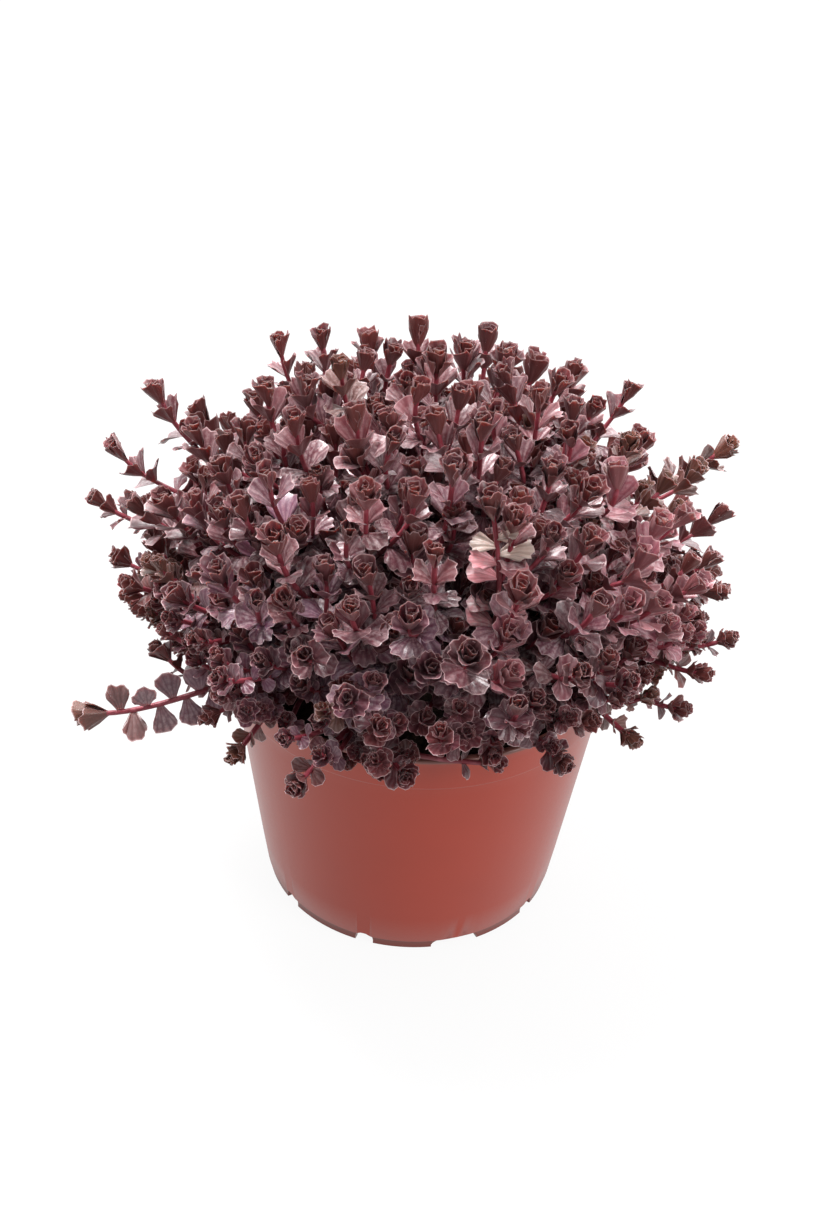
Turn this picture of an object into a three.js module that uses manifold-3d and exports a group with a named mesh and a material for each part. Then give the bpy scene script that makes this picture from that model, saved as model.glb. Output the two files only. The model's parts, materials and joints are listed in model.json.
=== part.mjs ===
// A leafy, mat-forming stonecrop (sedum) in a round plastic nursery pot.
// Millimetres, +Z up. The origin is the middle of the pot's underside, on the surface it stands on.
// The pot holds a plug of potting soil. Forked leafy stems stand in plain holes in the soil and
// fan out into a dome of rosette-tipped shoots, whose paired leaves have toothed, fan-shaped ends.
import * as THREE from "three";
import { mergeVertices } from "three/addons/utils/BufferGeometryUtils.js";
import Module from "manifold-3d";

const wasm = await Module();
wasm.setup();

// Pot: outer radii and heights
const potHeight = 96;
const rimRadius = 65;
const rimBandDrop = 13.5;
const bandProud = 0.5;
const baseRadius = 51.2;
const wallThickness = 1.3;
const lipWidth = 2.7;
const footHeight = 3;
const footStep = 0.9;
const footWidth = 2.2;
const restDiscRadius = 30;
const potSides = 32;

// Drain notches round the foot, one of each five wide and shallow
const notchCount = 10;
const notchTurn = -70;
const smallNotch = { width: 6.5, height: 4.7 };
const wideNotch = { width: 17, height: 3.9 };
const wideNotchEvery = 5;
const notchDepth = 9;

// Soil
const clearance = 0.3;
const soilDrop = 8;
const soilCrown = 1.6;
const holeDepth = 9;
const holeSides = 4;

// Crown of shoots: an ellipsoid dome, measured to the tips
const crownCentre = new THREE.Vector3(0, 0, 95);
const domeRadius = 99;
const domeHeight = 96;
const skirtAngle = 93;
const spiralCount = 100;
const spiralTurn = 30;
const tipSpacing = 18;
const goldenTurn = 137.508;
const viewLean = 36;
const viewDistance = 650;
const tipTilt = 0.62;
const tiltGain = 1.6;
const rootSpread = 49;
const trailPull = new THREE.Vector3(0, -14, -14); // brings a trailing shoot low over the rim, and forwards
const stemTries = 300;
const trailStep = 2.2;

// Stems and leaves, drawn half as large again as life, so that fewer of them cover the dome. A leaf
// grows out of one face of its square stem, and a side shoot out of one face of the main one.
const stemRadius = { foot: 1.9, tip: 1.5 };
const stemGap = 4.4;
const forkAt = 0.42;
const forkBack = 30;
const forkMost = 0.6;
const lowestPair = 0.5;
const forkFoot = 3.4;
const leafFoot = 2.8;
const leafWidth = 0.82;
const leafBelly = 1.5;
const keepClear = 0.35;

// Pairs of leaves on a shoot, from its tip down: distance of their foot from the tip, angle to the
// stem, length, points on the toothed edge, and how far the edge is cupped upwards. Each pair
// stands across the one before it.
const mainPairs = [
  { back: 9.4, spread: 14, length: 14, points: 5, cup: 1.9 },
  { back: 14.5, spread: 46, length: 19, points: 7, cup: 2.6 },
  { back: 25, spread: 70, length: 20, points: 5, cup: -2.4 },
  { back: 36, spread: 84, length: 21, points: 5, cup: -2.4 },
];
const sidePairs = [
  { back: 9.4, spread: 16, length: 14, points: 5, cup: 1.9 },
  { back: 16.5, spread: 58, length: 19, points: 7, cup: 2.2 },
];

// Tips that make the dome's outline, as measured on a plane through the crown's centre that leans
// back by viewLean: [across, up that plane, out of it towards the viewer], and the share of its
// angle from the crown's centre that a tip leans by, where that isn't tipTilt
const outlineTips = [
  [-103, -29, 35, 1.1], [-84, -7, 30], [-98, 9, 10], [-103, 22, 0], [-111, 41, 0], [-104, 57, 0],
  [-92, 77, 0], [-77, 70, 0], [-59, 75, 0], [-52, 95, 0], [-38, 98, 0], [-22, 97, 0], [-6, 101, 0],
  [17, 100, 0], [33, 92, 0], [46, 90, 0], [65, 85, 0], [70, 68, 0], [99, 69, 0],
  [88, 60, 5], [97, 46, 0], [93, 30, 8], [98, 21, 12], [100, 6, 26], [90, -6, 40],
  [83, -17, 45], [68, -28, 50], [45, -35, 72], [23, -32, 78], [-3, -40, 78], [-35, -45, 78],
  [-56, -39, 58], [-66, -28, 48],
];

// On the same plane, the lower edge of the crown: its lowest point, and how it rises to the sides.
const lowerEdge = { lowest: -42, curve: 0.0055 };

const colours = {
  pot: 0xa5503f,
  soil: 0x2a211c,
  leaf: 0x6b3d42,
};

// Sizes and bends that a leaf tries in turn, to clear what grows beside it.
const leafTries = [
  { scale: 1, bend: 0 },
  { scale: 1, bend: -12 },
  { scale: 1, bend: 12 },
  { scale: 0.86, bend: 0 },
  { scale: 0.82, bend: -16 },
  { scale: 0.78, bend: 20 },
  { scale: 0.64, bend: -6 },
];
const forkRing = 3;

const up = new THREE.Vector3(0, 0, 1);
const radians = THREE.MathUtils.degToRad;

// A repeatable number from 0 to 1 for each pair of whole numbers.
function chance(a, b) {
  const wave = Math.sin(a * 12.9898 + b * 78.233) * 43758.5453;
  return wave - Math.floor(wave);
}

function toSolid(geometry) {
  const loose = geometry.index ? geometry.toNonIndexed() : geometry;
  const bare = new THREE.BufferGeometry().setAttribute("position", loose.getAttribute("position"));
  const welded = mergeVertices(bare, 1e-4);
  return new wasm.Manifold(
    new wasm.Mesh({
      numProp: 3,
      vertProperties: welded.attributes.position.array,
      triVerts: new Uint32Array(welded.index.array),
    }),
  );
}

function toMesh(name, solid, material) {
  const { vertProperties, triVerts } = solid.getMesh();
  const geometry = new THREE.BufferGeometry();
  geometry.setAttribute("position", new THREE.BufferAttribute(new Float32Array(vertProperties), 3));
  geometry.setIndex(new THREE.BufferAttribute(new Uint32Array(triVerts), 1));
  geometry.computeVertexNormals();
  const mesh = new THREE.Mesh(geometry, material);
  mesh.name = name;
  return mesh;
}

// The profile, given as [radius, height] from the underside outwards, turned about Z.
function turned(profile, sides) {
  const points = profile.map(([radius, height]) => new THREE.Vector2(radius, height));
  return toSolid(new THREE.LatheGeometry(points, sides).rotateX(Math.PI / 2));
}

// Outer and inner radius of the pot's wall at a height.
function wallRadius(height) {
  const share = (height - footHeight) / (potHeight - footHeight);
  return THREE.MathUtils.lerp(baseRadius, rimRadius, share);
}

function innerRadius(height) {
  return wallRadius(height) - wallThickness - bandProud;
}

const bandHeight = potHeight - rimBandDrop;
const floorTop = footHeight + wallThickness;
const soilHeight = potHeight - soilDrop;

function makePot() {
  const profile = [
    [0, 0],
    [restDiscRadius, 0],
    [restDiscRadius + 1.5, footHeight],
    [baseRadius - footStep - footWidth - 0.4, footHeight],
    [baseRadius - footStep - footWidth, 0],
    [baseRadius - footStep, 0],
    [baseRadius - footStep, footHeight],
    [baseRadius, footHeight + 0.8],
    [wallRadius(bandHeight) - bandProud, bandHeight],
    [wallRadius(bandHeight), bandHeight + 0.6],
    [rimRadius, potHeight - 0.8],
    [rimRadius - 0.6, potHeight],
    [rimRadius - lipWidth, potHeight],
    [innerRadius(bandHeight), bandHeight],
    [innerRadius(floorTop), floorTop],
    [restDiscRadius + 0.9, floorTop],
    [restDiscRadius - 0.9, wallThickness],
    [0, wallThickness],
  ];
  let pot = turned(profile, potSides);
  for (let i = 0; i < notchCount; i++) {
    const size = i % wideNotchEvery ? smallNotch : wideNotch;
    pot = pot.subtract(notchCutter(size, notchTurn + (i * 360) / notchCount));
  }
  return pot;
}

// A round-topped slot through the foot and the floor's edge, pointing along an azimuth.
function notchCutter({ width, height }, azimuth) {
  const half = width / 2;
  const shape = new THREE.Shape();
  shape.moveTo(-half, -1);
  shape.lineTo(half, -1);
  shape.lineTo(half, height * 0.3);
  shape.quadraticCurveTo(half * 0.8, height, 0, height);
  shape.quadraticCurveTo(-half * 0.8, height, -half, height * 0.3);
  const slot = new THREE.ExtrudeGeometry(shape, { depth: notchDepth, bevelEnabled: false, curveSegments: 2 });
  slot.rotateX(Math.PI / 2);
  slot.translate(0, baseRadius + 2, 0);
  slot.rotateZ(radians(azimuth - 90));
  return toSolid(slot);
}

function makeSoil(stems) {
  const edge = innerRadius(soilHeight) - clearance - 0.3;
  const profile = [
    [0, wallThickness + clearance],
    [restDiscRadius - 1.3, wallThickness + clearance],
    [restDiscRadius + 0.6, floorTop + clearance],
    [innerRadius(floorTop) - clearance - 0.3, floorTop + clearance],
    [edge, soilHeight - 1],
    [edge - 5, soilHeight],
    [0, soilHeight + soilCrown],
  ];
  let soil = turned(profile, potSides);
  for (const { root, lean } of stems) {
    soil = soil.subtract(rootHole(root, lean));
  }
  return soil;
}

function rootHole(root, lean) {
  const radius = (stemRadius.foot + clearance) / Math.cos(Math.PI / holeSides);
  const above = 5;
  const hole = new THREE.CylinderGeometry(radius, radius, holeDepth + clearance + above, holeSides);
  hole.translate(0, (above - holeDepth - clearance) / 2, 0);
  const turn = new THREE.Quaternion().setFromUnitVectors(new THREE.Vector3(0, 1, 0), lean);
  hole.applyQuaternion(turn);
  hole.translate(root.x, root.y, root.z);
  return toSolid(hole);
}

// Places of the shoots' tips: the measured outline first, then an even spiral over the dome.
function placeTips() {
  const back = new THREE.Vector3(0, -Math.cos(radians(viewLean)), Math.sin(radians(viewLean)));
  const rise = new THREE.Vector3(0, Math.sin(radians(viewLean)), Math.cos(radians(viewLean)));
  const tips = outlineTips.map(([across, along, towards, tilt = tipTilt]) => {
    const tip = crownCentre.clone().add(new THREE.Vector3(across, 0, 0));
    tip.addScaledVector(rise, along).addScaledVector(back, towards);
    return Object.assign(tip, { tilt });
  });
  for (let i = 0; i < spiralCount; i++) {
    const height = 1 - ((i + 0.5) / spiralCount) * (1 - Math.cos(radians(skirtAngle)));
    const azimuth = radians(i * goldenTurn + spiralTurn + 14 * chance(i, 1));
    const reach = 0.93 + 0.12 * chance(i, 2);
    const across = Math.sqrt(1 - height * height) * domeRadius * reach;
    const tip = new THREE.Vector3(
      across * Math.cos(azimuth),
      across * Math.sin(azimuth),
      height * domeHeight * reach,
    ).add(crownCentre);
    const fromCentre = tip.clone().sub(crownCentre);
    const nearness = viewDistance / (viewDistance - fromCentre.dot(back));
    const along = fromCentre.dot(rise) * nearness;
    const edge = lowerEdge.lowest + lowerEdge.curve * (fromCentre.x * nearness) ** 2;
    if (along > edge && tips.every((other) => other.distanceTo(tip) > tipSpacing)) {
      tips.push(Object.assign(tip, { tilt: tipTilt }));
    }
  }
  return tips;
}

// Angle of a tip from straight up, seen from the crown's centre, and its direction of growth.
function polarAngle(tip) {
  return up.angleTo(tip.clone().sub(crownCentre));
}

function growth(tip, share) {
  const tilt = polarAngle(tip) * share;
  const outward = new THREE.Vector3(tip.x, tip.y, 0).normalize();
  return outward.multiplyScalar(Math.sin(tilt)).addScaledVector(up, Math.cos(tilt));
}

// A tip grows upright on top of the crown, and leans out more and more down its sides.
function tipGrowth(tip) {
  return growth(tip, tip.tilt * (polarAngle(tip) / (Math.PI / 2)) ** tiltGain);
}

// Two neighbouring tips share one forked stem, the outermost tips choosing first.
function pairTips(tips) {
  const left = [...tips].sort((a, b) => polarAngle(b) - polarAngle(a));
  const forks = [];
  while (left.length > 1) {
    const main = left.shift();
    left.sort((a, b) => a.distanceTo(main) - b.distanceTo(main));
    forks.push([main, left.shift()]);
    left.sort((a, b) => polarAngle(b) - polarAngle(a));
  }
  return forks;
}

function curveBetween(start, startWay, end, endWay, bulge) {
  const reach = start.distanceTo(end) * 0.38;
  return new THREE.CubicBezierCurve3(
    start,
    start.clone().addScaledVector(startWay, reach).add(bulge),
    end.clone().addScaledVector(endWay, -reach).add(bulge),
    end,
  );
}

function stemReach(share) {
  return THREE.MathUtils.lerp(stemRadius.foot, stemRadius.tip, share);
}

// Square rings down a stem. stations are distances back from its tip, the lowest first, and side
// is the way that the first ring's first face looks.
function stemRings(curve, stations, side) {
  const length = curve.getLength();
  const face = side.clone();
  return stations.map((back) => {
    const share = THREE.MathUtils.clamp(1 - back / length, 0, 1);
    const way = curve.getTangentAt(share);
    const centre = curve.getPointAt(share).addScaledVector(way, Math.min(0, length - back));
    face.addScaledVector(way, -face.dot(way)).normalize();
    const other = way.clone().cross(face);
    const corners = [-45, 45, 135, 225].map((degrees) =>
      centre
        .clone()
        .addScaledVector(face, stemReach(share) * Math.cos(radians(degrees)))
        .addScaledVector(other, stemReach(share) * Math.sin(radians(degrees))),
    );
    const faces = [face.clone(), other, face.clone().negate(), other.clone().negate()];
    return { centre, way, faces, corners };
  });
}

// Distances back from a shoot's tip of the rings that hold its leaves.
function leafStations(pairs) {
  return [...pairs].reverse().flatMap(({ back }) => [back + leafFoot / 2, back - leafFoot / 2]);
}

// The corners of one face between two rings, counter-clockwise as seen from outside.
function faceCorners(rings, ring, face) {
  const next = (face + 1) % 4;
  const [low, high] = [rings[ring].corners, rings[ring + 1].corners];
  return [low[face], low[next], high[next], high[face]];
}

// A fleshy leaf on a face: the points on its toothed, fan-shaped edge, cupped upwards or bent back,
// and the lowest point of its belly.
function leafAt(rings, ring, face, { length, spread, points, cup }) {
  const { way, faces } = rings[ring];
  const outward = faces[face];
  const angle = radians(spread);
  const along = way.clone().multiplyScalar(Math.cos(angle)).addScaledVector(outward, Math.sin(angle));
  const upper = way.clone().multiplyScalar(Math.sin(angle)).addScaledVector(outward, -Math.cos(angle));
  const across = along.clone().cross(upper);
  const feet = faceCorners(rings, ring, face);
  const foot = feet.reduce((sum, corner) => sum.addScaledVector(corner, 0.25), new THREE.Vector3());
  const half = length * leafWidth * 0.5;
  const fanFoot = length * 0.5;
  const place = (x, y, rise) =>
    foot.clone().addScaledVector(across, x).addScaledVector(along, y).addScaledVector(upper, rise);
  const edge = Array.from({ length: points }, (_, k) => {
    const turn = radians(102 - (204 * k) / (points - 1));
    const tooth = k % 2 ? 0.84 : 1;
    const x = Math.sin(turn) * half * tooth;
    const y = fanFoot + Math.cos(turn) * (length - fanFoot) * tooth;
    return place(x, y, cup * (x / half) ** 2 + 0.5 * cup * (y / length) ** 2);
  });
  return { ring, face, feet, edge, belly: place(0, fanFoot * 0.9, -leafBelly), along, upper };
}

// Corner numbers of a leaf's triangles, from those of its foot, edge and belly.
function leafFaces([a, b, c, d], edge, belly) {
  const last = edge.length - 1;
  const middle = last / 2;
  const faces = [a, edge[0], d, b, c, edge[last], c, d, edge[middle]];
  faces.push(belly, a, b, belly, edge[0], a, belly, b, edge[last]);
  for (let k = 0; k < last; k++) {
    faces.push(k < middle ? d : c, edge[k], edge[k + 1], belly, edge[k + 1], edge[k]);
  }
  return faces;
}

function solidFrom(points, index) {
  const geometry = new THREE.BufferGeometry();
  geometry.setAttribute("position", new THREE.Float32BufferAttribute(points.flatMap((p) => [p.x, p.y, p.z]), 3));
  geometry.setIndex(index);
  return toSolid(geometry);
}

// A leaf by itself, to test whether others clear it.
function leafAlone({ feet, edge, belly }) {
  const numbers = edge.map((_, k) => 5 + k);
  return solidFrom([...feet, belly, ...edge], [0, 3, 2, 0, 2, 1, ...leafFaces([0, 1, 2, 3], numbers, 4)]);
}

// The same leaf with room around it.
function leafWithRoom({ feet, edge, belly, along, upper }) {
  const middle = edge.reduce((sum, point) => sum.addScaledVector(point, 1 / edge.length), new THREE.Vector3());
  const shifted = (point, rise) => {
    const away = point.clone().sub(middle);
    return point.clone().addScaledVector(away.setLength(1), keepClear).addScaledVector(upper, rise);
  };
  const lifted = feet.map((point) => point.clone().addScaledVector(along, keepClear));
  const low = edge.map((point) => shifted(point, -keepClear));
  const high = edge.map((point) => shifted(point, keepClear));
  const points = [...lifted, belly.clone().addScaledVector(upper, -keepClear), ...low, ...high];
  const [a, b, c, d, lowest] = [0, 1, 2, 3, 4];
  const last = edge.length - 1;
  const under = (k) => 5 + k;
  const over = (k) => 6 + last + k;
  const index = [a, d, c, a, c, b, c, d, over(last / 2), lowest, a, b];
  index.push(lowest, under(0), a, lowest, b, under(last));
  index.push(a, under(0), over(0), a, over(0), d, b, c, over(last), b, over(last), under(last));
  for (let k = 0; k < last; k++) {
    index.push(k < last / 2 ? d : c, over(k), over(k + 1), lowest, under(k + 1), under(k));
    index.push(under(k), under(k + 1), over(k + 1), under(k), over(k + 1), over(k));
  }
  return solidFrom(points, index);
}

// Everything placed so far, so that what grows later stays clear of it.
const placed = [];

function record(shoot, solid) {
  placed.push({ shoot, solid, box: solid.boundingBox() });
}

function boxesMeet(a, b) {
  return [0, 1, 2].every((axis) => a.min[axis] < b.max[axis] && b.min[axis] < a.max[axis]);
}

function isClear(solid, shoot) {
  const box = solid.boundingBox();
  return placed.every(
    (other) => other.shoot === shoot || !boxesMeet(box, other.box) || solid.intersect(other.solid).isEmpty(),
  );
}

// Whether each edge of a square stem leads on to its next ring, with no fold at a sharp bend.
function runsForward(rings) {
  return rings.every((ring, i) => {
    const next = rings[i + 1];
    if (!next) return true;
    const way = ring.way.clone().add(next.way);
    return way.length() > 1 && ring.corners.every((corner, k) => next.corners[k].clone().sub(corner).dot(way) > 0.8);
  });
}

// Points down the middle of a stem, trailStep apart or less.
function trailOf(rings) {
  return rings.flatMap(({ centre }, i) => {
    const next = rings[Math.min(i + 1, rings.length - 1)].centre;
    const steps = Math.max(1, Math.ceil(centre.distanceTo(next) / trailStep));
    return Array.from({ length: steps }, (_, k) => centre.clone().lerp(next, k / steps));
  });
}

// Whether a stem's trail of points keeps clear of the pot's rim and of the stems that stand already.
function hasRoom(trail, stems) {
  const room = stemGap / 2;
  const clearsRim = trail.every((point) => {
    const radius = Math.hypot(point.x, point.y);
    return point.z > potHeight + room || radius < rimRadius - lipWidth - room || radius > rimRadius + room;
  });
  return clearsRim && stems.every((stem) => keepsApart(trail, stem.trail));
}

function keepsApart(trail, other) {
  return other.every((far) => trail.every((point) => point.distanceTo(far) > stemGap));
}

// The forked stem for a pair of tips, bulged aside where it would meet the rim or another stem.
function growStem([mainTip, sideTip], node, stems) {
  const middle = mainTip.clone().add(sideTip).multiplyScalar(0.5);
  const polar = polarAngle(middle);
  const rootShare = Math.sqrt((1 - Math.cos(polar)) / (1 - Math.cos(radians(skirtAngle))));
  const azimuth = Math.atan2(middle.y, middle.x);
  const overRim = Math.max(0, Math.sin(polar) - 0.55) * 26;
  const trails = mainTip.tilt === tipTilt ? 0 : 1;
  for (let i = 0; i < stemTries; i++) {
    const stray = 0.1 * Math.min(i, 100);
    const aside = radians(stray * 6 * (chance(node, i) - 0.5));
    const radius = Math.min(rootSpread * (rootShare + 0.06 * stray * (chance(node, i + 50) - 0.5)), rootSpread + 3);
    const root = new THREE.Vector3(
      radius * Math.cos(azimuth + aside),
      radius * Math.sin(azimuth + aside),
      soilHeight + 0.6,
    );
    const bulge = new THREE.Vector3(
      stray * 4 * (chance(node, i + 100) - 0.5),
      stray * 4 * (chance(node, i + 150) - 0.5),
      overRim + stray * 2 * chance(node, i + 200),
    ).addScaledVector(trailPull, trails);
    const main = curveBetween(root, growth(middle, 0.3), mainTip, tipGrowth(mainTip), bulge);
    const rings = mainRings(main, 2 * Math.PI * chance(node, 9));
    const fork = rings[forkRing];
    const reach = sideTip.clone().sub(fork.centre);
    const face = [0, 1, 2, 3].reduce((best, k) => (fork.faces[k].dot(reach) > fork.faces[best].dot(reach) ? k : best));
    const feet = faceCorners(rings, forkRing, face);
    const start = feet.reduce((sum, corner) => sum.addScaledVector(corner, 0.25), new THREE.Vector3());
    const sideWay = fork.faces[face].clone().multiplyScalar(0.75).addScaledVector(fork.way, 0.65).normalize();
    const side = curveBetween(start, sideWay, sideTip, tipGrowth(sideTip), bulge.clone().multiplyScalar(0.3));
    const lean = main.getTangentAt(0);
    const branch = sideRings(side, feet[1].clone().sub(feet[0]));
    const mainTrail = trailOf(rings);
    const sideTrail = trailOf([{ centre: start }, ...branch]);
    const parted = sideTrail.filter((point) => point.distanceTo(start) > 2 * stemGap);
    const trail = [...mainTrail, ...sideTrail];
    const base = { way: fork.faces[face], corners: [feet[1], feet[2], feet[3], feet[0]] };
    const unfolded = runsForward(rings) && runsForward([base, ...branch]);
    if ((unfolded && hasRoom(trail, stems) && keepsApart(parted, mainTrail)) || i === stemTries - 1) {
      return { node, root, lean, trail, rings, pairs: pairsOn(main), fork: { face, base }, sideRings: branch };
    }
  }
}

// A long main shoot carries all the pairs of leaves, and a short one all but the lowest.
function pairsOn(curve) {
  const lowest = mainPairs.at(-1).back;
  return lowest < curve.getLength() * lowestPair ? mainPairs : mainPairs.slice(0, -1);
}

// Rings of a main shoot: buried end, soil, a bend, the fork, a bend, and its leaves.
function mainRings(curve, turn) {
  const pairs = pairsOn(curve);
  const length = curve.getLength();
  const fork = Math.max(length * (1 - forkAt), Math.min(forkBack, length * forkMost));
  const leafTop = pairs.at(-1).back + leafFoot / 2;
  const stations = [length + holeDepth, length, (length + fork) / 2, fork + forkFoot / 2, fork - forkFoot / 2];
  stations.push((fork + leafTop) / 2, ...leafStations(pairs));
  return stemRings(curve, stations, new THREE.Vector3(Math.cos(turn), Math.sin(turn), 0));
}

// Rings of a side shoot above the face that it grows from.
function sideRings(curve, across) {
  const length = curve.getLength();
  const leafTop = sidePairs.at(-1).back + leafFoot / 2;
  const stations = [length - forkFoot, (length + leafTop) / 2, ...leafStations(sidePairs)];
  return stemRings(curve, stations, across);
}

// Adds a stem's rings and leaves to a list of points and triangles. The rings follow on from the
// four points numbered in base, or close with a flat end.
function addShoot(points, index, rings, leaves, branch) {
  const first = points.length;
  const corner = (ring, k) => first + ring * 4 + (k % 4);
  points.push(...rings.flatMap((ring) => ring.corners));
  for (let ring = 0; ring + 1 < rings.length; ring++) {
    for (let face = 0; face < 4; face++) {
      const feet = [corner(ring, face), corner(ring, face + 1), corner(ring + 1, face + 1), corner(ring + 1, face)];
      const leaf = leaves.find((one) => one.ring === ring && one.face === face);
      if (leaf) {
        const edge = leaf.edge.map((_, k) => points.length + k);
        index.push(...leafFaces(feet, edge, points.length + edge.length));
        points.push(...leaf.edge, leaf.belly);
      } else if (branch && ring === forkRing && face === branch.face) {
        branch.feet = feet;
      } else {
        index.push(feet[0], feet[1], feet[2], feet[0], feet[2], feet[3]);
      }
    }
  }
  const end = rings.length - 1;
  index.push(corner(end, 0), corner(end, 1), corner(end, 2), corner(end, 0), corner(end, 2), corner(end, 3));
  return [0, 1, 2, 3].map((k) => corner(0, k));
}

// A forked stem and its leaves as one closed surface.
function stemSolid(stem) {
  const points = [];
  const index = [];
  const branch = { face: stem.fork.face };
  const [a, b, c, d] = addShoot(points, index, stem.rings, stem.leaves, branch);
  index.push(a, c, b, a, d, c);
  const ring = addShoot(points, index, stem.sideRings, stem.sideLeaves);
  for (let k = 0; k < 4; k++) {
    const next = (k + 1) % 4;
    const [low, lowNext] = [branch.feet[(k + 1) % 4], branch.feet[(k + 2) % 4]];
    index.push(low, lowNext, ring[next], low, ring[next], ring[k]);
  }
  return solidFrom(points, index);
}

// Grows one pair of leaves on a shoot, each bent or shortened until it clears its neighbours.
function growPair(stem, shoot, tier) {
  const onSide = shoot === "side";
  const rings = onSide ? stem.sideRings : stem.rings;
  const leaves = onSide ? stem.sideLeaves : stem.leaves;
  const pair = (onSide ? sidePairs : stem.pairs)[tier];
  if (!pair) return;
  const ring = rings.length - 2 - 2 * tier;
  for (const face of [tier % 2, (tier % 2) + 2]) {
    const stray = 10 * (chance(stem.node * 7 + tier, face + (onSide ? 20 : 10)) - 0.5);
    for (const { scale, bend } of leafTries) {
      const spread = Math.max(9, pair.spread + bend + stray * Math.min(1, pair.spread / 40));
      const leaf = leafAt(rings, ring, face, { ...pair, length: pair.length * scale, spread });
      const alone = leafAlone(leaf);
      if (isClear(leafWithRoom(leaf), shoot + stem.node) && leaves.every((own) => own.alone.intersect(alone).isEmpty())) {
        record(shoot + stem.node, alone);
        leaves.push({ ...leaf, alone });
        break;
      }
    }
  }
}

const materials = {
  pot: new THREE.MeshStandardMaterial({ color: colours.pot, roughness: 0.38, metalness: 0 }),
  soil: new THREE.MeshStandardMaterial({ color: colours.soil, roughness: 0.95, metalness: 0 }),
  leaf: new THREE.MeshStandardMaterial({ color: colours.leaf, roughness: 0.5, metalness: 0 }),
};

const sedum = new THREE.Group();
const pot = makePot();
record("pot", pot);
record("potting_soil", makeSoil([]));

const stems = [];
pairTips(placeTips()).forEach((tips, node) => {
  const stem = { ...growStem(tips, node, stems), leaves: [], sideLeaves: [] };
  stems.push(stem);
});
for (const stem of stems) {
  const bare = [stem.rings, [stem.fork.base, ...stem.sideRings]].map((rings) => {
    const points = [];
    const index = [];
    const [a, b, c, d] = addShoot(points, index, rings, []);
    return solidFrom(points, [...index, a, c, b, a, d, c]);
  });
  record("main" + stem.node, bare[0]);
  record("side" + stem.node, bare[1]);
}
for (let tier = 0; tier < mainPairs.length; tier++) {
  for (const stem of stems) {
    growPair(stem, "main", tier);
    growPair(stem, "side", tier);
  }
}

sedum.add(toMesh("pot", pot, materials.pot));
sedum.add(toMesh("potting_soil", makeSoil(stems), materials.soil));
stems.forEach((stem, i) => {
  const name = "leafy_stem_" + String(i + 1).padStart(2, "0");
  sedum.add(toMesh(name, stemSolid(stem), materials.leaf));
});

export default sedum;
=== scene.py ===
import json
import math
from functools import partial
import bpy
import numpy as np
from mathutils import Matrix

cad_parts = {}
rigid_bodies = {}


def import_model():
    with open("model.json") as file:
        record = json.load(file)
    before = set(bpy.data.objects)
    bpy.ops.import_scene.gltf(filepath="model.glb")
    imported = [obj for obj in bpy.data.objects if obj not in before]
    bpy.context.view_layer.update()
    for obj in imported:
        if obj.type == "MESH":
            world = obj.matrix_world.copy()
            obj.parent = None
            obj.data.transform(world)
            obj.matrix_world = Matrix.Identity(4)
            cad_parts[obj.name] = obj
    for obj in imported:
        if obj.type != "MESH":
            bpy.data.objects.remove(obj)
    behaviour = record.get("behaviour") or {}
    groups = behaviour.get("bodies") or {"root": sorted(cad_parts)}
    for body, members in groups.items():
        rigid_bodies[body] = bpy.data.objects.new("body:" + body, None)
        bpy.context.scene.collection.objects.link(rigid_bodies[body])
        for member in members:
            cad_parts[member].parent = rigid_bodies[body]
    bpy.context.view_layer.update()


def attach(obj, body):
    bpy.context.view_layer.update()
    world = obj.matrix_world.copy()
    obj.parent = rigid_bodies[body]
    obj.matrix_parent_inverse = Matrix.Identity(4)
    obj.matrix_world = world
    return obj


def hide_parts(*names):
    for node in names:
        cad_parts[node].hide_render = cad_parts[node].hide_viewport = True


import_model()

mm = 0.001


# The crown is laid out in millimetres by the same rule as the part's own stems.
crown = {
    "centre": (0, 0, 95), "radius": 99, "height": 96, "skirt": 93,
    "spiral": 100, "spacing": 18, "goldenTurn": 137.508, "spiralTurn": (30, 14), "reach": (0.93, 0.12),
    "viewLean": 36, "viewDistance": 650, "lowest": -42, "curve": 0.0055, "tipTilt": 0.62, "tiltGain": 1.6,
}
stem = {
    "soilHeight": 88, "soilRise": 0.6, "rootSpread": 49, "rootMost": 52, "rootTilt": 0.3, "holeDepth": 9,
    "foot": 1.9, "tip": 1.5, "gap": 4.4, "trailStep": 2.2, "handle": 0.38, "leastStep": 0.8,
    "forkAt": 0.42, "forkBack": 30, "forkMost": 0.6, "forkFoot": 3.4, "forkOut": 0.75, "forkUp": 0.65,
    "leafFoot": 2.8, "mainBacks": (9.4, 14.5, 25, 36), "sideBacks": (9.4, 16.5), "lowestPair": 0.5,
    "rimFrom": 0.55, "rimBulge": 26, "sideBulge": 0.3, "trailPull": (0, -14, -14),
    # each try strays further, until the stem has room: degrees round, share of the spread, and bulge
    "tries": 300, "stray": 0.1, "strayMost": 100, "strayTurn": 6, "strayRoot": 0.06, "strayBulge": (4, 4, 2),
}
pot = {
    "height": 96, "rimRadius": 65, "bandDrop": 13.5, "bandProud": 0.5, "baseRadius": 51.2, "sides": 176,
    "wall": 1.3, "lip": 2.7, "foot": 3, "footStep": 0.9, "footWidth": 2.2, "restDisc": 30,
    # drain notches round the base: width and height of each kind, and where across one the wall has edges
    "notches": 10, "notchTurn": -70, "wideEvery": 5, "smallNotch": (6.5, 4.7), "wideNotch": (17, 3.9),
    "notchInner": 44.2, "notchEnds": 0.3, "notchSquare": 2.6, "notchRound": 0.6, "notchStep": 0.25,
    "notchClear": 0.008,
    "notchEdges": (-1.001, -0.999, -0.93, -0.8, -0.6, -0.3, 0, 0.3, 0.6, 0.8, 0.93, 0.999, 1.001),
}
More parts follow.
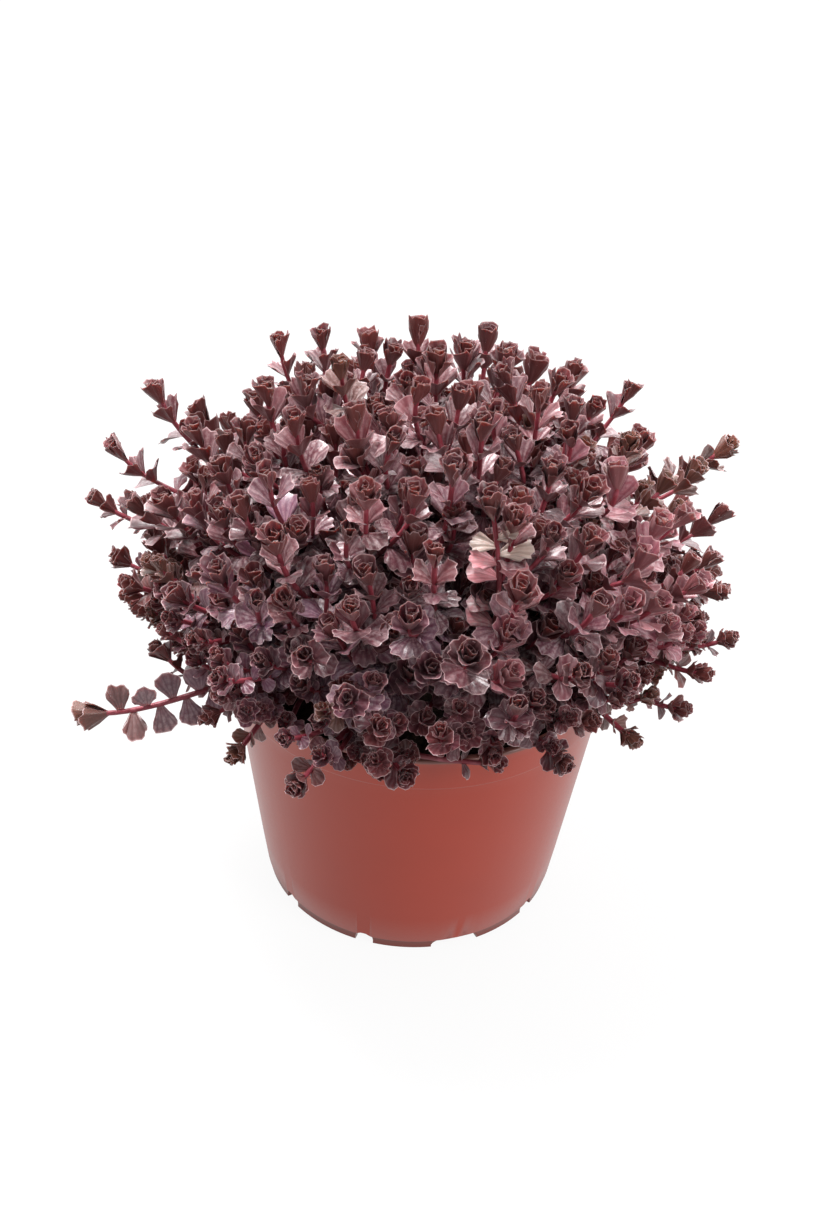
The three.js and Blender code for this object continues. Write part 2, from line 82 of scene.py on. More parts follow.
# Outline tips on a plane through the crown's centre, leaning back: across, up it, towards the viewer,
# and the lean of the tip where it isn't tipTilt
outlineTips = [
    [-103, -29, 35, 1.1], [-84, -7, 30], [-98, 9, 10], [-103, 22, 0], [-111, 41, 0], [-104, 57, 0],
    [-92, 77, 0], [-77, 70, 0], [-59, 75, 0], [-52, 95, 0], [-38, 98, 0], [-22, 97, 0], [-6, 101, 0],
    [17, 100, 0], [33, 92, 0], [46, 90, 0], [65, 85, 0], [70, 68, 0], [99, 69, 0],
    [88, 60, 5], [97, 46, 0], [93, 30, 8], [98, 21, 12], [100, 6, 26], [90, -6, 40],
    [83, -17, 45], [68, -28, 50], [45, -35, 72], [23, -32, 78], [-3, -40, 78], [-35, -45, 78],
    [-56, -39, 58], [-66, -28, 48],
]
centre = np.array(crown["centre"], float)
up = np.array([0.0, 0.0, 1.0])


def chance(a, b):
    wave = math.sin(a * 12.9898 + b * 78.233) * 43758.5453
    return wave - math.floor(wave)


def between(spread, a, b):
    # the first value, and up to the second one more
    return spread[0] + spread[1] * chance(a, b)


def unit(v):
    v = np.asarray(v, float)
    return v / np.maximum(np.linalg.norm(v, axis=-1, keepdims=True), 1e-12)


class ShootCurve:
    # a cubic through four points, measured along its length
    def __init__(self, points):
        self.points = np.array(points, float)
        steps = np.diff(self.at(np.linspace(0, 1, 201)), axis=0)
        self.marks = np.concatenate([[0], np.cumsum(np.linalg.norm(steps, axis=1))])
        self.length = self.marks[-1]

    def at(self, t):
        t = np.asarray(t, float)[..., None]
        a, b, c, d = self.points
        m = 1 - t
        return m ** 3 * a + 3 * m * m * t * b + 3 * m * t * t * c + t ** 3 * d

    def spot(self, share):
        return np.interp(np.asarray(share) * self.length, self.marks, np.linspace(0, 1, 201))

    def point(self, share):
        return self.at(self.spot(share))

    def way(self, share):
        t = self.spot(share)
        return unit(self.at(np.clip(t + 1e-4, 0, 1)) - self.at(np.clip(t - 1e-4, 0, 1)))


def domeTip(i, count, skirt, reach, turn):
    height = 1 - ((i + 0.5) / count) * (1 - math.cos(math.radians(skirt)))
    azimuth = math.radians(i * crown["goldenTurn"] + turn)
    across = math.sqrt(1 - height * height) * crown["radius"] * reach
    return centre + [across * math.cos(azimuth), across * math.sin(azimuth), height * crown["height"] * reach]


lean = math.radians(crown["viewLean"])
viewBack = np.array([0, -math.cos(lean), math.sin(lean)])
viewRise = np.array([0, math.sin(lean), math.cos(lean)])


def overEdge(tip):
    # how far a tip is above the crown's lower edge, which sags over the front of the pot
    out = tip - centre
    nearness = crown["viewDistance"] / (crown["viewDistance"] - out @ viewBack)
    edge = crown["lowest"] + crown["curve"] * (out[0] * nearness) ** 2
    return (out @ viewRise) * nearness - edge


def placeTips():
    tips, tilts = [], []
    for x, along, towards, *tilt in outlineTips:
        tips.append(centre + [x, 0, 0] + viewRise * along + viewBack * towards)
        tilts += tilt or [crown["tipTilt"]]
    for i in range(crown["spiral"]):
        reach, turn = between(crown["reach"], i, 2), between(crown["spiralTurn"], i, 1)
        tip = domeTip(i, crown["spiral"], crown["skirt"], reach, turn)
        if overEdge(tip) > 0 and all(np.linalg.norm(tip - other) > crown["spacing"] for other in tips):
            tips.append(tip)
            tilts.append(crown["tipTilt"])
    return list(zip(tips, tilts))


def polarAngle(tip):
    out = tip - centre
    return math.acos(max(-1, min(1, out[2] / np.linalg.norm(out))))


def growth(tip, share):
    tilt = polarAngle(tip) * share
    return unit([tip[0], tip[1], 0]) * math.sin(tilt) + up * math.cos(tilt)


def tipGrowth(tip, tilt):
    # upright on top of the crown, leaning out more and more down its sides
    return growth(tip, tilt * (polarAngle(tip) / (math.pi / 2)) ** crown["tiltGain"])


def pairTips(tips):
    left = sorted(tips, key=lambda tip: -polarAngle(tip[0]))
    forks = []
    while len(left) > 1:
        main = left.pop(0)
        left.sort(key=lambda tip: np.linalg.norm(tip[0] - main[0]))
        forks.append((main, left.pop(0)))
        left.sort(key=lambda tip: -polarAngle(tip[0]))
    return forks


def curveBetween(start, startWay, end, endWay, bulge):
    reach = np.linalg.norm(end - start) * stem["handle"]
    return ShootCurve([start, start + startWay * reach + bulge, end - endWay * reach + bulge, end])


def stemRings(curve, stations, side):
    # square rings down a stem, each with its middle, its way, its four face ways and its corners
    rings = []
    face = side
    for back in stations:
        share = min(1, max(0, 1 - back / curve.length))
        reach = stem["foot"] + (stem["tip"] - stem["foot"]) * share
        way = curve.way(share)
        middle = curve.point(share) + way * min(0, curve.length - back)
        face = unit(face - way * (face @ way))
        other = np.cross(way, face)
        corners = [
            middle + face * reach * math.cos(math.radians(a)) + other * reach * math.sin(math.radians(a))
            for a in (-45, 45, 135, 225)
        ]
        rings.append((middle, way, (face, other, -face, -other), np.array(corners)))
    return rings


def leafStations(backs):
    half = stem["leafFoot"] / 2
    return [station for back in reversed(backs) for station in (back + half, back - half)]


def mainRings(curve, turn):
    # a long shoot carries all the pairs of leaves, and a short one all but the lowest
    length = curve.length
    backs = stem["mainBacks"]
    if backs[-1] >= length * stem["lowestPair"]:
        backs = backs[:-1]
    fork = max(length * (1 - stem["forkAt"]), min(stem["forkBack"], length * stem["forkMost"]))
    leafTop = backs[-1] + stem["leafFoot"] / 2
    half = stem["forkFoot"] / 2
    stations = [length + stem["holeDepth"], length, (length + fork) / 2]
    stations += [fork + half, fork - half, (fork + leafTop) / 2]
    return stemRings(curve, stations + leafStations(backs), np.array([math.cos(turn), math.sin(turn), 0]))


def sideRings(curve, across):
    leafTop = stem["sideBacks"][-1] + stem["leafFoot"] / 2
    stations = [curve.length - stem["forkFoot"], (curve.length + leafTop) / 2]
    return stemRings(curve, stations + leafStations(stem["sideBacks"]), across)


def runsForward(rings):
    # no ring turns far from the one before it, and each corner moves on
    for (_, way, _, corners), (_, nextWay, _, nextCorners) in zip(rings, rings[1:]):
        both = way + nextWay
        if np.linalg.norm(both) <= 1 or ((nextCorners - corners) @ both <= stem["leastStep"]).any():
            return False
    return True


def trailOf(middles):
    trail = []
    for here, after in zip(middles, middles[1:] + middles[-1:]):
        steps = max(1, math.ceil(np.linalg.norm(after - here) / stem["trailStep"]))
        trail += [here + (after - here) * k / steps for k in range(steps)]
    return np.array(trail)


def keepsApart(trail, other):
    if not len(trail) or not len(other):
        return True
    gaps = np.linalg.norm(trail[:, None] - other[None], axis=2)
    return gaps.min() > stem["gap"]


def hasRoom(trail, others):
    room = stem["gap"] / 2
    radius = np.hypot(trail[:, 0], trail[:, 1])
    inner = pot["rimRadius"] - pot["lip"] - room
    clear = (trail[:, 2] > pot["height"] + room) | (radius < inner) | (radius > pot["rimRadius"] + room)
    return clear.all() and keepsApart(trail, others)


def growStem(mainTip, sideTip, tilts, number, others):
    # a main shoot and a side shoot that leaves it at the fork, tried again until they have room
    middle = (mainTip + sideTip) / 2
    polar = polarAngle(middle)
    rootShare = math.sqrt((1 - math.cos(polar)) / (1 - math.cos(math.radians(crown["skirt"]))))
    azimuth = math.atan2(middle[1], middle[0])
    top, rootWay = stem["soilHeight"] + stem["soilRise"], growth(middle, stem["rootTilt"])
    overRim = max(0, math.sin(polar) - stem["rimFrom"]) * stem["rimBulge"]
    pull = np.array(stem["trailPull"]) * (tilts[0] != crown["tipTilt"])
    across, along, rise = stem["strayBulge"]
    for i in range(stem["tries"]):
        stray = stem["stray"] * min(i, stem["strayMost"])
        aside = azimuth + math.radians(stray * stem["strayTurn"] * (chance(number, i) - 0.5))
        radius = stem["rootSpread"] * (rootShare + stem["strayRoot"] * stray * (chance(number, i + 50) - 0.5))
        radius = min(radius, stem["rootMost"])
        root = np.array([radius * math.cos(aside), radius * math.sin(aside), top])
        bulge = np.array([
            stray * across * (chance(number, i + 100) - 0.5),
            stray * along * (chance(number, i + 150) - 0.5),
            overRim + stray * rise * chance(number, i + 200),
        ]) + pull
        main = curveBetween(root, rootWay, mainTip, tipGrowth(mainTip, tilts[0]), bulge)
        rings = mainRings(main, 2 * math.pi * chance(number, 9))
        forkMiddle, forkWay, forkFaces, low = rings[3]
        high = rings[4][3]
        face = int(np.argmax([way @ (sideTip - forkMiddle) for way in forkFaces]))
        after = (face + 1) % 4
        feet = [low[face], low[after], high[after], high[face]]
        start = sum(feet) / 4
        sideWay = unit(forkFaces[face] * stem["forkOut"] + forkWay * stem["forkUp"])
        side = curveBetween(start, sideWay, sideTip, tipGrowth(sideTip, tilts[1]), bulge * stem["sideBulge"])
        branch = sideRings(side, feet[1] - feet[0])
        mainTrail = trailOf([ring[0] for ring in rings])
        sideTrail = trailOf([start] + [ring[0] for ring in branch])
        parted = sideTrail[np.linalg.norm(sideTrail - start, axis=1) > 2 * stem["gap"]]
        trail = np.concatenate([mainTrail, sideTrail])
        base = (start, forkFaces[face], None, np.array([feet[1], feet[2], feet[3], feet[0]]))
        unfolded = runsForward(rings) and runsForward([base] + branch)
        if unfolded and hasRoom(trail, others) and keepsApart(parted, mainTrail):
            break
    return {"main": main, "side": side, "trail": trail, "faces": (rings[-1][2][0], branch[-1][2][0])}


stems = []
taken = np.zeros((0, 3))
for number, ((mainTip, mainTilt), (sideTip, sideTilt)) in enumerate(pairTips(placeTips())):
    stems.append(growStem(mainTip, sideTip, (mainTilt, sideTilt), number, taken))
    stems[-1]["trails"] = mainTilt != crown["tipTilt"]
    taken = np.concatenate([taken, stems[-1]["trail"]])
print("laid out", len(stems), "forked stems")


# Finer shoots fill the dome between the forked stems and branch off them.
filler = {
    "count": 1500, "skirt": 98, "spacing": (12.2, 6.1), "reach": (0.8, 0.19), "spare": -4,
    "turn": (60, 20), "tilt": 0.6, "stray": 24, "lowFrom": 1.15, "lowBand": 30,
    "deepCount": 500, "deepReach": (0.62, 0.16), "deepSpacing": 12.2, "deepLowest": 0.8,
    # where one branches off: places along a stem, its best length, and what a turn or a low start costs
    "feet": (0.1, 0.85, 24), "best": 38, "turnCost": 60, "lowStart": 93, "lowCost": 200,
    "blushBest": 46, "blushRise": 120,
    # tips that stand out, in millimetres, how each is coloured, and places kept free in front of it
    "chosen": [((18, -47, 179), "blush", [(17, -56, 167), (16, -60, 156)]), ((60, -52, 149), "rosy", [])],
    # places kept open, where the rim shows at the front
    "open": [(x, -66 - step, 97 + 0.72 * step) for x in (6, 11, 16) for step in (0, 6, 12, 18, 24, 30)],
}


def lowness(tip):
    # 0 up the crown, 1 at its lower edge, where shoots are younger, smaller and closer
    return min(1, max(0, filler["lowFrom"] - overEdge(tip) / filler["lowBand"]))


def growShoots():
    shoots = []
    spots, ways, owners = [], [], []
    for number, one in enumerate(stems):
        for kind, face in zip(("main", "side"), one["faces"]):
            curve = one[kind]
            look = "trail" if one["trails"] and kind == "main" else None
            shoots.append({"node": number, "curve": curve, "face": face, "kind": kind, "look": look})
            share = np.linspace(*filler["feet"])
            spots.append(curve.point(share))
            ways.append(curve.way(share))
            owners += [number] * len(share)
    spots, ways = np.concatenate(spots), np.concatenate(ways)
    tips = [shoot["curve"].points[3] for shoot in shoots]
    tips += [np.array(place, float) for place in filler["open"]]
    wanted = []
    for tip, look, free in filler["chosen"]:
        wanted.append((np.array(tip, float), look))
        tips += [np.array(place, float) for place in free]
    for count, reach, look in (
        (filler["count"], filler["reach"], None), (filler["deepCount"], filler["deepReach"], "deep"),
    ):
        for i in range(count):
            turn = between(filler["turn"], i, 72)
            wanted.append((domeTip(i, count, filler["skirt"], between(reach, i, 71), turn), look))
    lowCost = filler["lowCost"] * (spots[:, 2] < filler["lowStart"])
    for i, (tip, look) in enumerate(wanted):
        low = lowness(tip)
        spacing = filler["spacing"][0] * (1 - low) + filler["spacing"][1] * low
        if look == "deep":
            spacing = filler["deepSpacing"]
        tooClose = min(np.linalg.norm(np.array(tips) - tip, axis=1)) < spacing
        hidden = look == "deep" and low > filler["deepLowest"]
        if look in (None, "deep") and (overEdge(tip) < filler["spare"] or tooClose or hidden):
            continue
        reachOut = tip - spots
        far = np.linalg.norm(reachOut, axis=1)
        turned = 1 - np.einsum("ij,ij->i", reachOut, ways) / far
        best = int(np.argmin(abs(far - filler["best"]) + filler["turnCost"] * turned + lowCost))
        if look == "blush":
            rises = filler["blushRise"] * reachOut[:, 2] / far
            best = int(np.argmin(abs(far - filler["blushBest"]) - rises + lowCost))
        away = reachOut[best] / far[best]
        startWay = unit(ways[best] + away)
        stray = [chance(i, 75) - 0.5, chance(i, 76) - 0.5, 0]
        endWay = unit(tipGrowth(tip, filler["tilt"]) + 2 * math.radians(filler["stray"]) * np.array(stray))
        curve = curveBetween(spots[best], startWay, tip, endWay, np.zeros(3))
        tips.append(tip)
        face = np.cross(endWay, viewBack)
        shoots.append({"node": owners[best], "curve": curve, "face": face, "kind": "fill", "look": look})
    return shoots


shoots = growShoots()
print("grew", len(shoots), "shoots")


# Leaves stand in crossed pairs: distance of the foot from the tip, length, width, angle to the stem
# at foot and at tip, radius of the cupping across (negative bends the edges down), widest place, grid
pairTable = [
    (0.5, 3.4, 3.2, 4, 0, 1.2, 0.6, "inner"),
    (1.3, 5.2, 4.8, 8, 8, 1.9, 0.6, "inner"),
    (2.5, 7.2, 6.6, 11, 20, 2.7, 0.6, "plain"),
    (4.3, 9.0, 8.2, 13, 28, 3.6, 0.64, "fine"),
    (5.8, 8.6, 8.8, 21, 46, 5.0, 0.66, "fine"),
    (10.8, 8.8, 10.4, 24, 52, 7.5, 0.7, "fine"),
    (17.2, 9.4, 8.6, 40, 90, 12, 0.6, "broad"),
    (23.4, 9.4, 8.4, 56, 102, -20, 0.58, "broad"),
    (29.4, 9.2, 8.2, 70, 108, -16, 0.57, "small"),
    (36.0, 9.0, 8.0, 78, 110, -16, 0.56, "small"),
    (44.0, 8.8, 8.2, 86, 112, -16, 0.55, "small"),
    (51.0, 8.2, 7.6, 90, 114, -16, 0.55, "small"),
]
leaf = {
    "thickness": 0.45, "usual": 8, "footHalf": 0.9, "waist": 0.26, "fan": (104, 22), "corner": 0.8,
    "notch": 0.07, "ragged": 0.042, "raggedWave": 31, "toothFade": 5, "ruffle": 0.5, "ruffleWave": 9.5,
    "fold": 0.42, "folds": 3.1, "foldAge": (0.35, 0.65), "foldAlong": (1.3, 0.6), "belly": 0.12,
    "thinFrom": 0.55, "thinTo": 0.7, "turnUp": 0.55,
}
grids = {
    "fine": (16, (0, 0.46, 0.84, 1)), "broad": (16, (0, 0.6, 1)), "bud": (13, (0, 0.6, 1)),
    "plain": (10, (0, 0.6, 1)), "small": (10, (0, 0.6, 1)), "inner": (7, (0, 0.6, 1)),
}


def leafGrid(kind):
    # one leaf as a closed skin: the upper face's grid, and an under face that shares its edge
    columns, rows = grids[kind]
    across, along = np.meshgrid(np.linspace(-1, 1, columns), rows)
    count = across.size
    number = np.arange(count).reshape(across.shape)
    under = number.copy()
    within = (len(rows) - 2, columns - 2)
    under[1:-1, 1:-1] = count + np.arange(within[0] * within[1]).reshape(within)
    inner = number[1:-1, 1:-1].ravel()
    t = np.concatenate([across.ravel(), across.ravel()[inner]])
    s = np.concatenate([along.ravel(), along.ravel()[inner]])
    low = np.concatenate([np.zeros(count), np.ones(len(inner))])
    rim = np.concatenate([~np.isin(np.arange(count), inner), np.zeros(len(inner), bool)])
    top = np.stack([number[:-1, :-1], number[:-1, 1:], number[1:, 1:], number[1:, :-1]], -1).reshape(-1, 4)
    bottom = np.stack([under[:-1, :-1], under[1:, :-1], under[1:, 1:], under[:-1, 1:]], -1).reshape(-1, 4)
    notched = np.round((t + 1) * (columns - 1) / 2).astype(int) % 3 == 0
    faces = np.concatenate([top, bottom])
    return {"t": t, "s": s, "low": low, "notched": notched, "rim": rim, "faces": faces, "tops": len(top)}


def leafPoints(grid, leaves):
    # leaves holds one row of each value a leaf; the result is leaves x points x 3, in millimetres
    t, s, low = grid["t"][None], grid["s"][None], grid["low"][None]
    length, width = leaves["length"][:, None], leaves["width"][:, None]
    phase, widest, older = leaves["phase"][:, None], leaves["widest"][:, None], leaves["older"][:, None]
    # young leaves are square-shouldered wedges, and older ones round
    turn = np.radians(leaf["fan"][0] + leaf["fan"][1] * older) * t
    corner = leaf["corner"] + (1 - leaf["corner"]) * older
    ragged = leaf["ragged"] * np.sin(leaf["raggedWave"] * t + 7 * phase)
    tooth = leaf["notch"] * grid["notched"][None] + ragged
    tooth = 1 - tooth * leaves["toothed"][:, None] * s ** leaf["toothFade"]
    edgeX = np.sign(turn) * abs(np.sin(turn)) ** corner * width / 2
    edgeY = (widest + np.sign(np.cos(turn)) * abs(np.cos(turn)) ** corner * (1 - widest)) * length
    # a wedge-shaped foot, drawn in at the waist, that opens into a toothed fan
    x = leaf["footHalf"] * t * (1 - s) + edgeX * s * (1 - leaf["waist"] * (1 - s)) * tooth
    y = edgeY * s * tooth
    share = np.clip(y / length, 0, 1)
    base, bend = leaves["foot"][:, None], (leaves["end"] - leaves["foot"])[:, None]
    # the midrib is an arc whose angle to the stem goes from base to base + bend
    soft = np.where(abs(bend) < 0.02, 0.02, bend)
    out = (np.cos(base) - np.cos(base + soft * share)) / soft * length
    rise = (np.sin(base + soft * share) - np.sin(base)) / soft * length
    angle = base + soft * share
    cup = leaves["cup"][:, None]
    side = cup * np.sin(x / cup)
    lift = cup * (1 - np.cos(x / cup))
    ruffle = leaf["ruffle"] * leaves["ruffle"][:, None] * s ** 3
    lift = lift + ruffle * np.sin(t * leaf["ruffleWave"] + phase) * np.minimum(width / leaf["usual"], 1)
    # folds run from the foot to the rim, deeper in older leaves
    fold = leaf["fold"] * (leaf["foldAge"][0] + leaf["foldAge"][1] * older)
    fold = fold * np.cos(np.pi * leaf["folds"] * t + phase * 0.3) * s
    lift = lift + fold * (leaf["foldAlong"][0] - leaf["foldAlong"][1] * s)
    # the under face lies a thickness below, and the upper one has a slight belly
    body = leaf["thickness"] * np.minimum(length / leaf["usual"], 1) * (1 - abs(t) ** 3)
    body = body * np.where(s < leaf["thinFrom"], 1, leaf["thinTo"])
    lift = lift - low * body + (1 - low) * leaf["belly"] * (1 - t * t) * np.sin(np.pi * s)
    way, outward = leaves["way"][:, None], leaves["out"][:, None]
    across = np.cross(leaves["out"], leaves["way"])[:, None]
    out, rise = (out - np.cos(angle) * lift)[..., None], (rise + np.sin(angle) * lift)[..., None]
    return leaves["place"][:, None] + outward * out + way * rise + across * side[..., None]


# A shoot's colours go from its young tip to its older leaves below.
tints = {
    "young": ("#602a2b", "#56272a", "#6a302f", "#4f2527"),
    "old": ("#6d3441", "#783f4c", "#5f2b39", "#844a57"),
    "low": ("#68343a", "#763f48", "#5e2f3c", "#724842"),
    "rosy": ("#a86272", "#b4707a", "#9c5664", "#bc7e86"),
    "lilac": ("#744660", "#80526c", "#643b54", "#8c5e76"),
    "plum": ("#5e2c3a", "#6a3644", "#522632", "#744152"),
    "olive": "#6c5c3e", "salmon": "#d8868e", "cream": "#b29c90", "oldFrom": 24,
    # random brightness, then the range and per-patch strength of the pale bloom, which is partly painted
    # highlight
    "brightness": (0.85, 0.3), "bloom": (0.3, 0.7), "dusty": {"lilac": 1.25, "rosy": 1.25, "plum": 0.8},
    # margins are palest up to this height, and half as pale this far above it, in millimetres
    "paleTo": 130, "paleFade": 50,
    # parts of the crown whose shoots share a tint: middle and reach in millimetres, and how many of them do
    "patches": [
        ("rosy", (74, -24, 146), 42, 1.3), ("lilac", (-50, -62, 132), 62, 1.0),
        ("olive", (62, 6, 160), 42, 0.9), ("olive", (78, -40, 102), 38, 0.8),
        ("rosy", (36, -70, 150), 20, 1.0), ("lilac", (-5, -78, 140), 30, 0.7),
        ("plum", (12, -56, 142), 78, 1.3),
    ],
    "strayOlive": (0.04, 0.18),
}
# How pairs of leaves sit on a shoot: turns and sways in degrees, sizes as shares of the table's
habit = {
    "shootTurn": 50, "pairTurn": 24, "sway": 22, "size": (0.88, 0.24), "leafSize": (0.87, 0.26),
    "rosyMore": 0.12, "mainMore": 0.08, "oliveSize": 0.88, "lowCloser": 0.42, "opener": 0.5, "offStem": 0.35,
    "lowSmaller": {"fill": 0.46, "main": 0.34, "side": 0.34}, "backStray": (0.9, 0.2), "cupStray": (0.8, 0.4),
    "plainFrom": 0.6, "fillTiers": 10, "plainTiers": 7, "clearFoot": 5,
}
# The two shoots that lie flat towards the viewer show the faces of their leaves.
flatLeaves = {
    "foot": 55, "end": 92, "widest": 0.64, "widthMost": 0.85, "roll": 56, "upward": 0.95,
    "trail": {"size": 1.12, "apart": 4, "older": 0.6, "dusty": 0.5, "firstBack": 10, "spacing": 8.6},
    "blush": {"size": 1.14, "apart": 2.8, "older": 0.9, "creamSize": 0.74},
}


def linear(code):
    parts = [int(code[k:k + 2], 16) / 255 for k in (1, 3, 5)]
    return [c / 12.92 if c <= 0.04045 else ((c + 0.055) / 1.055) ** 2.4 for c in parts]


# fewer points on small leaves, and fewest deep in the crown
lowKinds = {"fine": "bud", "broad": "small", "plain": "plain", "small": "inner", "inner": "inner"}
deepKinds = {"fine": "small", "broad": "small", "plain": "inner", "small": "inner", "inner": "inner"}


def patchOf(tip, index):
    for k, (name, middle, reach, share) in enumerate(tints["patches"]):
        if chance(index, 400 + k) < share * (1 - np.linalg.norm(tip - middle) / reach):
            return name
    least, more = tints["strayOlive"]
    return "olive" if chance(index, 4) < least + more * lowness(tip) else "old"


def leafTint(index, tier, half, age, low, patch, look, older):
    young, old, lower = [
        np.array(linear(codes[int(4 * chance(index, draw))]))
        for codes, draw in ((tints["young"], 8), (older, 90 + tier), (tints["low"], 91 + tier))
    ]
    if patch == "old":
        old = old * (1 - low) + lower * low
    if patch == "rosy":
        young = young * 0.6 + old * 0.4
    tint = young * (1 - age) + old * age
    if patch == "olive":
        tint = tint * (0.55 + 0.2 * age) + np.array(linear(tints["olive"])) * (0.45 - 0.2 * age)
    if look == "blush" and tier > 4:
        tint = np.array(linear(tints["cream" if tier == 5 or tier == 6 and not half else "salmon"]))
    return tint


def shootLeaves(shoot, index):
    curve, look, fill = shoot["curve"], shoot["look"], shoot["kind"] == "fill"
    tip = curve.points[3]
    found = []
    # pairs stand square to a stem's own face, and those of finer shoots are turned
    phase = math.radians(habit["shootTurn"] * (chance(index, 3) - 0.5))
    phase = phase + math.pi / 2 * (chance(index, 2) > 0.5) if fill else 0
    patch = "rosy" if look == "rosy" else patchOf(tip, index)
    older = tints["old"] if patch == "olive" else tints[patch]
    low = lowness(tip)
    vigour = between(habit["size"], index, 6)
    vigour += habit["rosyMore"] if patch == "rosy" else 0
    vigour += 0 if fill else habit["mainMore"] * (1 - low)
    vigour *= habit["oliveSize"] if patch == "olive" else 1
    vigour *= 1 - habit["lowSmaller"][shoot["kind"]] * low
    spacing = 1 - habit["lowCloser"] * low
    plain = low > habit["plainFrom"] or look == "deep"
    # how much pale bloom with painted highlight the older leaves get, half as much at the crown's lower edge
    dusty = tints["dusty"].get(patch, 1) * (1 - 0.5 * low)
    paleness = 1 - 0.5 * min(1, max(0, (tip[2] - tints["paleTo"]) / tints["paleFade"]))
    flat = flatLeaves.get(look)
    if flat:
        vigour = flat["size"]
    if look == "trail":
        dusty, older = flat["dusty"], tints["lilac"]
    for tier, (back, length, width, foot, end, cup, widest, kind) in enumerate(pairTable):
        outer = tier > 4
        if tier == 4 and chance(index, 9) > habit["opener"] + 0.5 * low:
            continue
        if outer:
            back = back * spacing * between(habit["backStray"], index, 7 + tier)
        if look == "trail" and outer:
            back = flat["firstBack"] + flat["spacing"] * (tier - 5)
        tierMost = habit["plainTiers"] if plain else habit["fillTiers"]
        if back > curve.length - habit["clearFoot"] or (fill and tier > tierMost):
            break
        share = 1 - back / curve.length
        place, way = curve.point(share), curve.way(share)
        face = unit(shoot["face"] - way * (shoot["face"] @ way))
        stray = math.radians(habit["pairTurn"]) * (chance(index, 20 + tier) - 0.5)
        turn = phase + math.pi / 2 * (tier % 2) + stray
        # older leaves turn their faces up to the light
        light = up
        upward = leaf["turnUp"] * min(1, max(0, (tier - 4) / 3))
        age = min(1, back / tints["oldFrom"])
        olderShape = min(1, max(0, (tier - 4) / 2))
        if flat:
            light, olderShape = unit(viewBack + up), flat["older"]
        if flat and outer:
            face = unit(np.cross(way, viewBack))
            turn = math.radians(flatLeaves["roll"]) * (chance(index, 340 + tier) - 0.5)
            upward, foot, end, widest = [flatLeaves[key] for key in ("upward", "foot", "end", "widest")]
            width = min(width, flatLeaves["widthMost"] * length)
        if plain:
            kind = deepKinds[kind] if look == "deep" else lowKinds[kind]
        for half in (0, 1):
            if flat and half and outer:
                place = curve.point(share - flat["apart"] / curve.length)
            seed = tier * 2 + half
            around = turn + math.pi * half
            out = face * math.cos(around) + np.cross(way, face) * math.sin(around)
            sway = math.radians(habit["sway"]) * (chance(index, 40 + seed) - 0.5) * min(1, (tier + 0.6) / 5)
            size = vigour * between(habit["leafSize"], index, 60 + seed)
            if look == "blush" and tier == 5:
                size *= flat["creamSize"]
            turned = way + (light - way) * upward
            turned = unit(turned - out * (turned @ out))
            tint = leafTint(index, tier, half, age, low, patch, look, older)
            found.append({
                "kind": kind, "place": place + out * habit["offStem"], "way": turned, "out": out,
                "length": length * size, "width": width * size, "widest": widest, "older": olderShape,
                "foot": math.radians(foot) + sway * 0.5, "end": math.radians(end) + sway * 2,
                "cup": cup * between(habit["cupStray"], index, 120 + seed),
                "toothed": 0.5 + min(0.5, tier / 5), "ruffle": 1 if tier < 6 else 0.7,
                "phase": 6.28 * chance(index, 150 + seed),
                "tint": tint * between(tints["brightness"], index, 180 + seed), "paleness": paleness,
                "bloom": age * between(tints["bloom"], index, 240 + seed) * dusty,
            })
    return found


twig = {
    "foot": 1.05, "tip": 0.85, "sides": 5, "mainRows": 20, "fillRows": 9, "thinner": 0.9, "rooted": 0.8,
    "firstFace": [0.3, 0.5, 0.8],
}


def twigSkin(shoot):
    # a tapered round stem, closed at both ends
    rows = twig["fillRows"] if shoot["kind"] == "fill" else twig["mainRows"]
    curve = shoot["curve"]
    share = np.linspace(0, 1, rows)
    middles, ways = curve.point(share), curve.way(share)
    if shoot["kind"] == "main":
        middles = np.concatenate([[middles[0] - ways[0] * stem["holeDepth"] * twig["rooted"]], middles])
        ways = np.concatenate([ways[:1], ways])
        share = np.concatenate([[0], share])
        rows += 1
    face = np.cross(ways[0], twig["firstFace"])
    angles = np.arange(twig["sides"]) * 2 * math.pi / twig["sides"]
    rings = []
    for middle, way, part in zip(middles, ways, share):
        face = unit(face - way * (face @ way))
        other = np.cross(way, face)
        thick = twig["foot"] + (twig["tip"] - twig["foot"]) * part
        if shoot["kind"] != "main":
            thick *= twig["thinner"]
        rings.append(middle + thick * (np.cos(angles)[:, None] * face + np.sin(angles)[:, None] * other))
    return np.concatenate(rings), rows, share


# The bake map gives each leaf and each twig a cell of its own, with its walls and end caps apart.
cells = {"pad": 0.04, "wallWidth": 0.8, "capRadius": 0.03, "footCap": [0.9, 0.2], "tipCap": [0.9, 0.6]}


def cellOf(number, columns):
    return np.array([number % columns, number // columns]) / columns


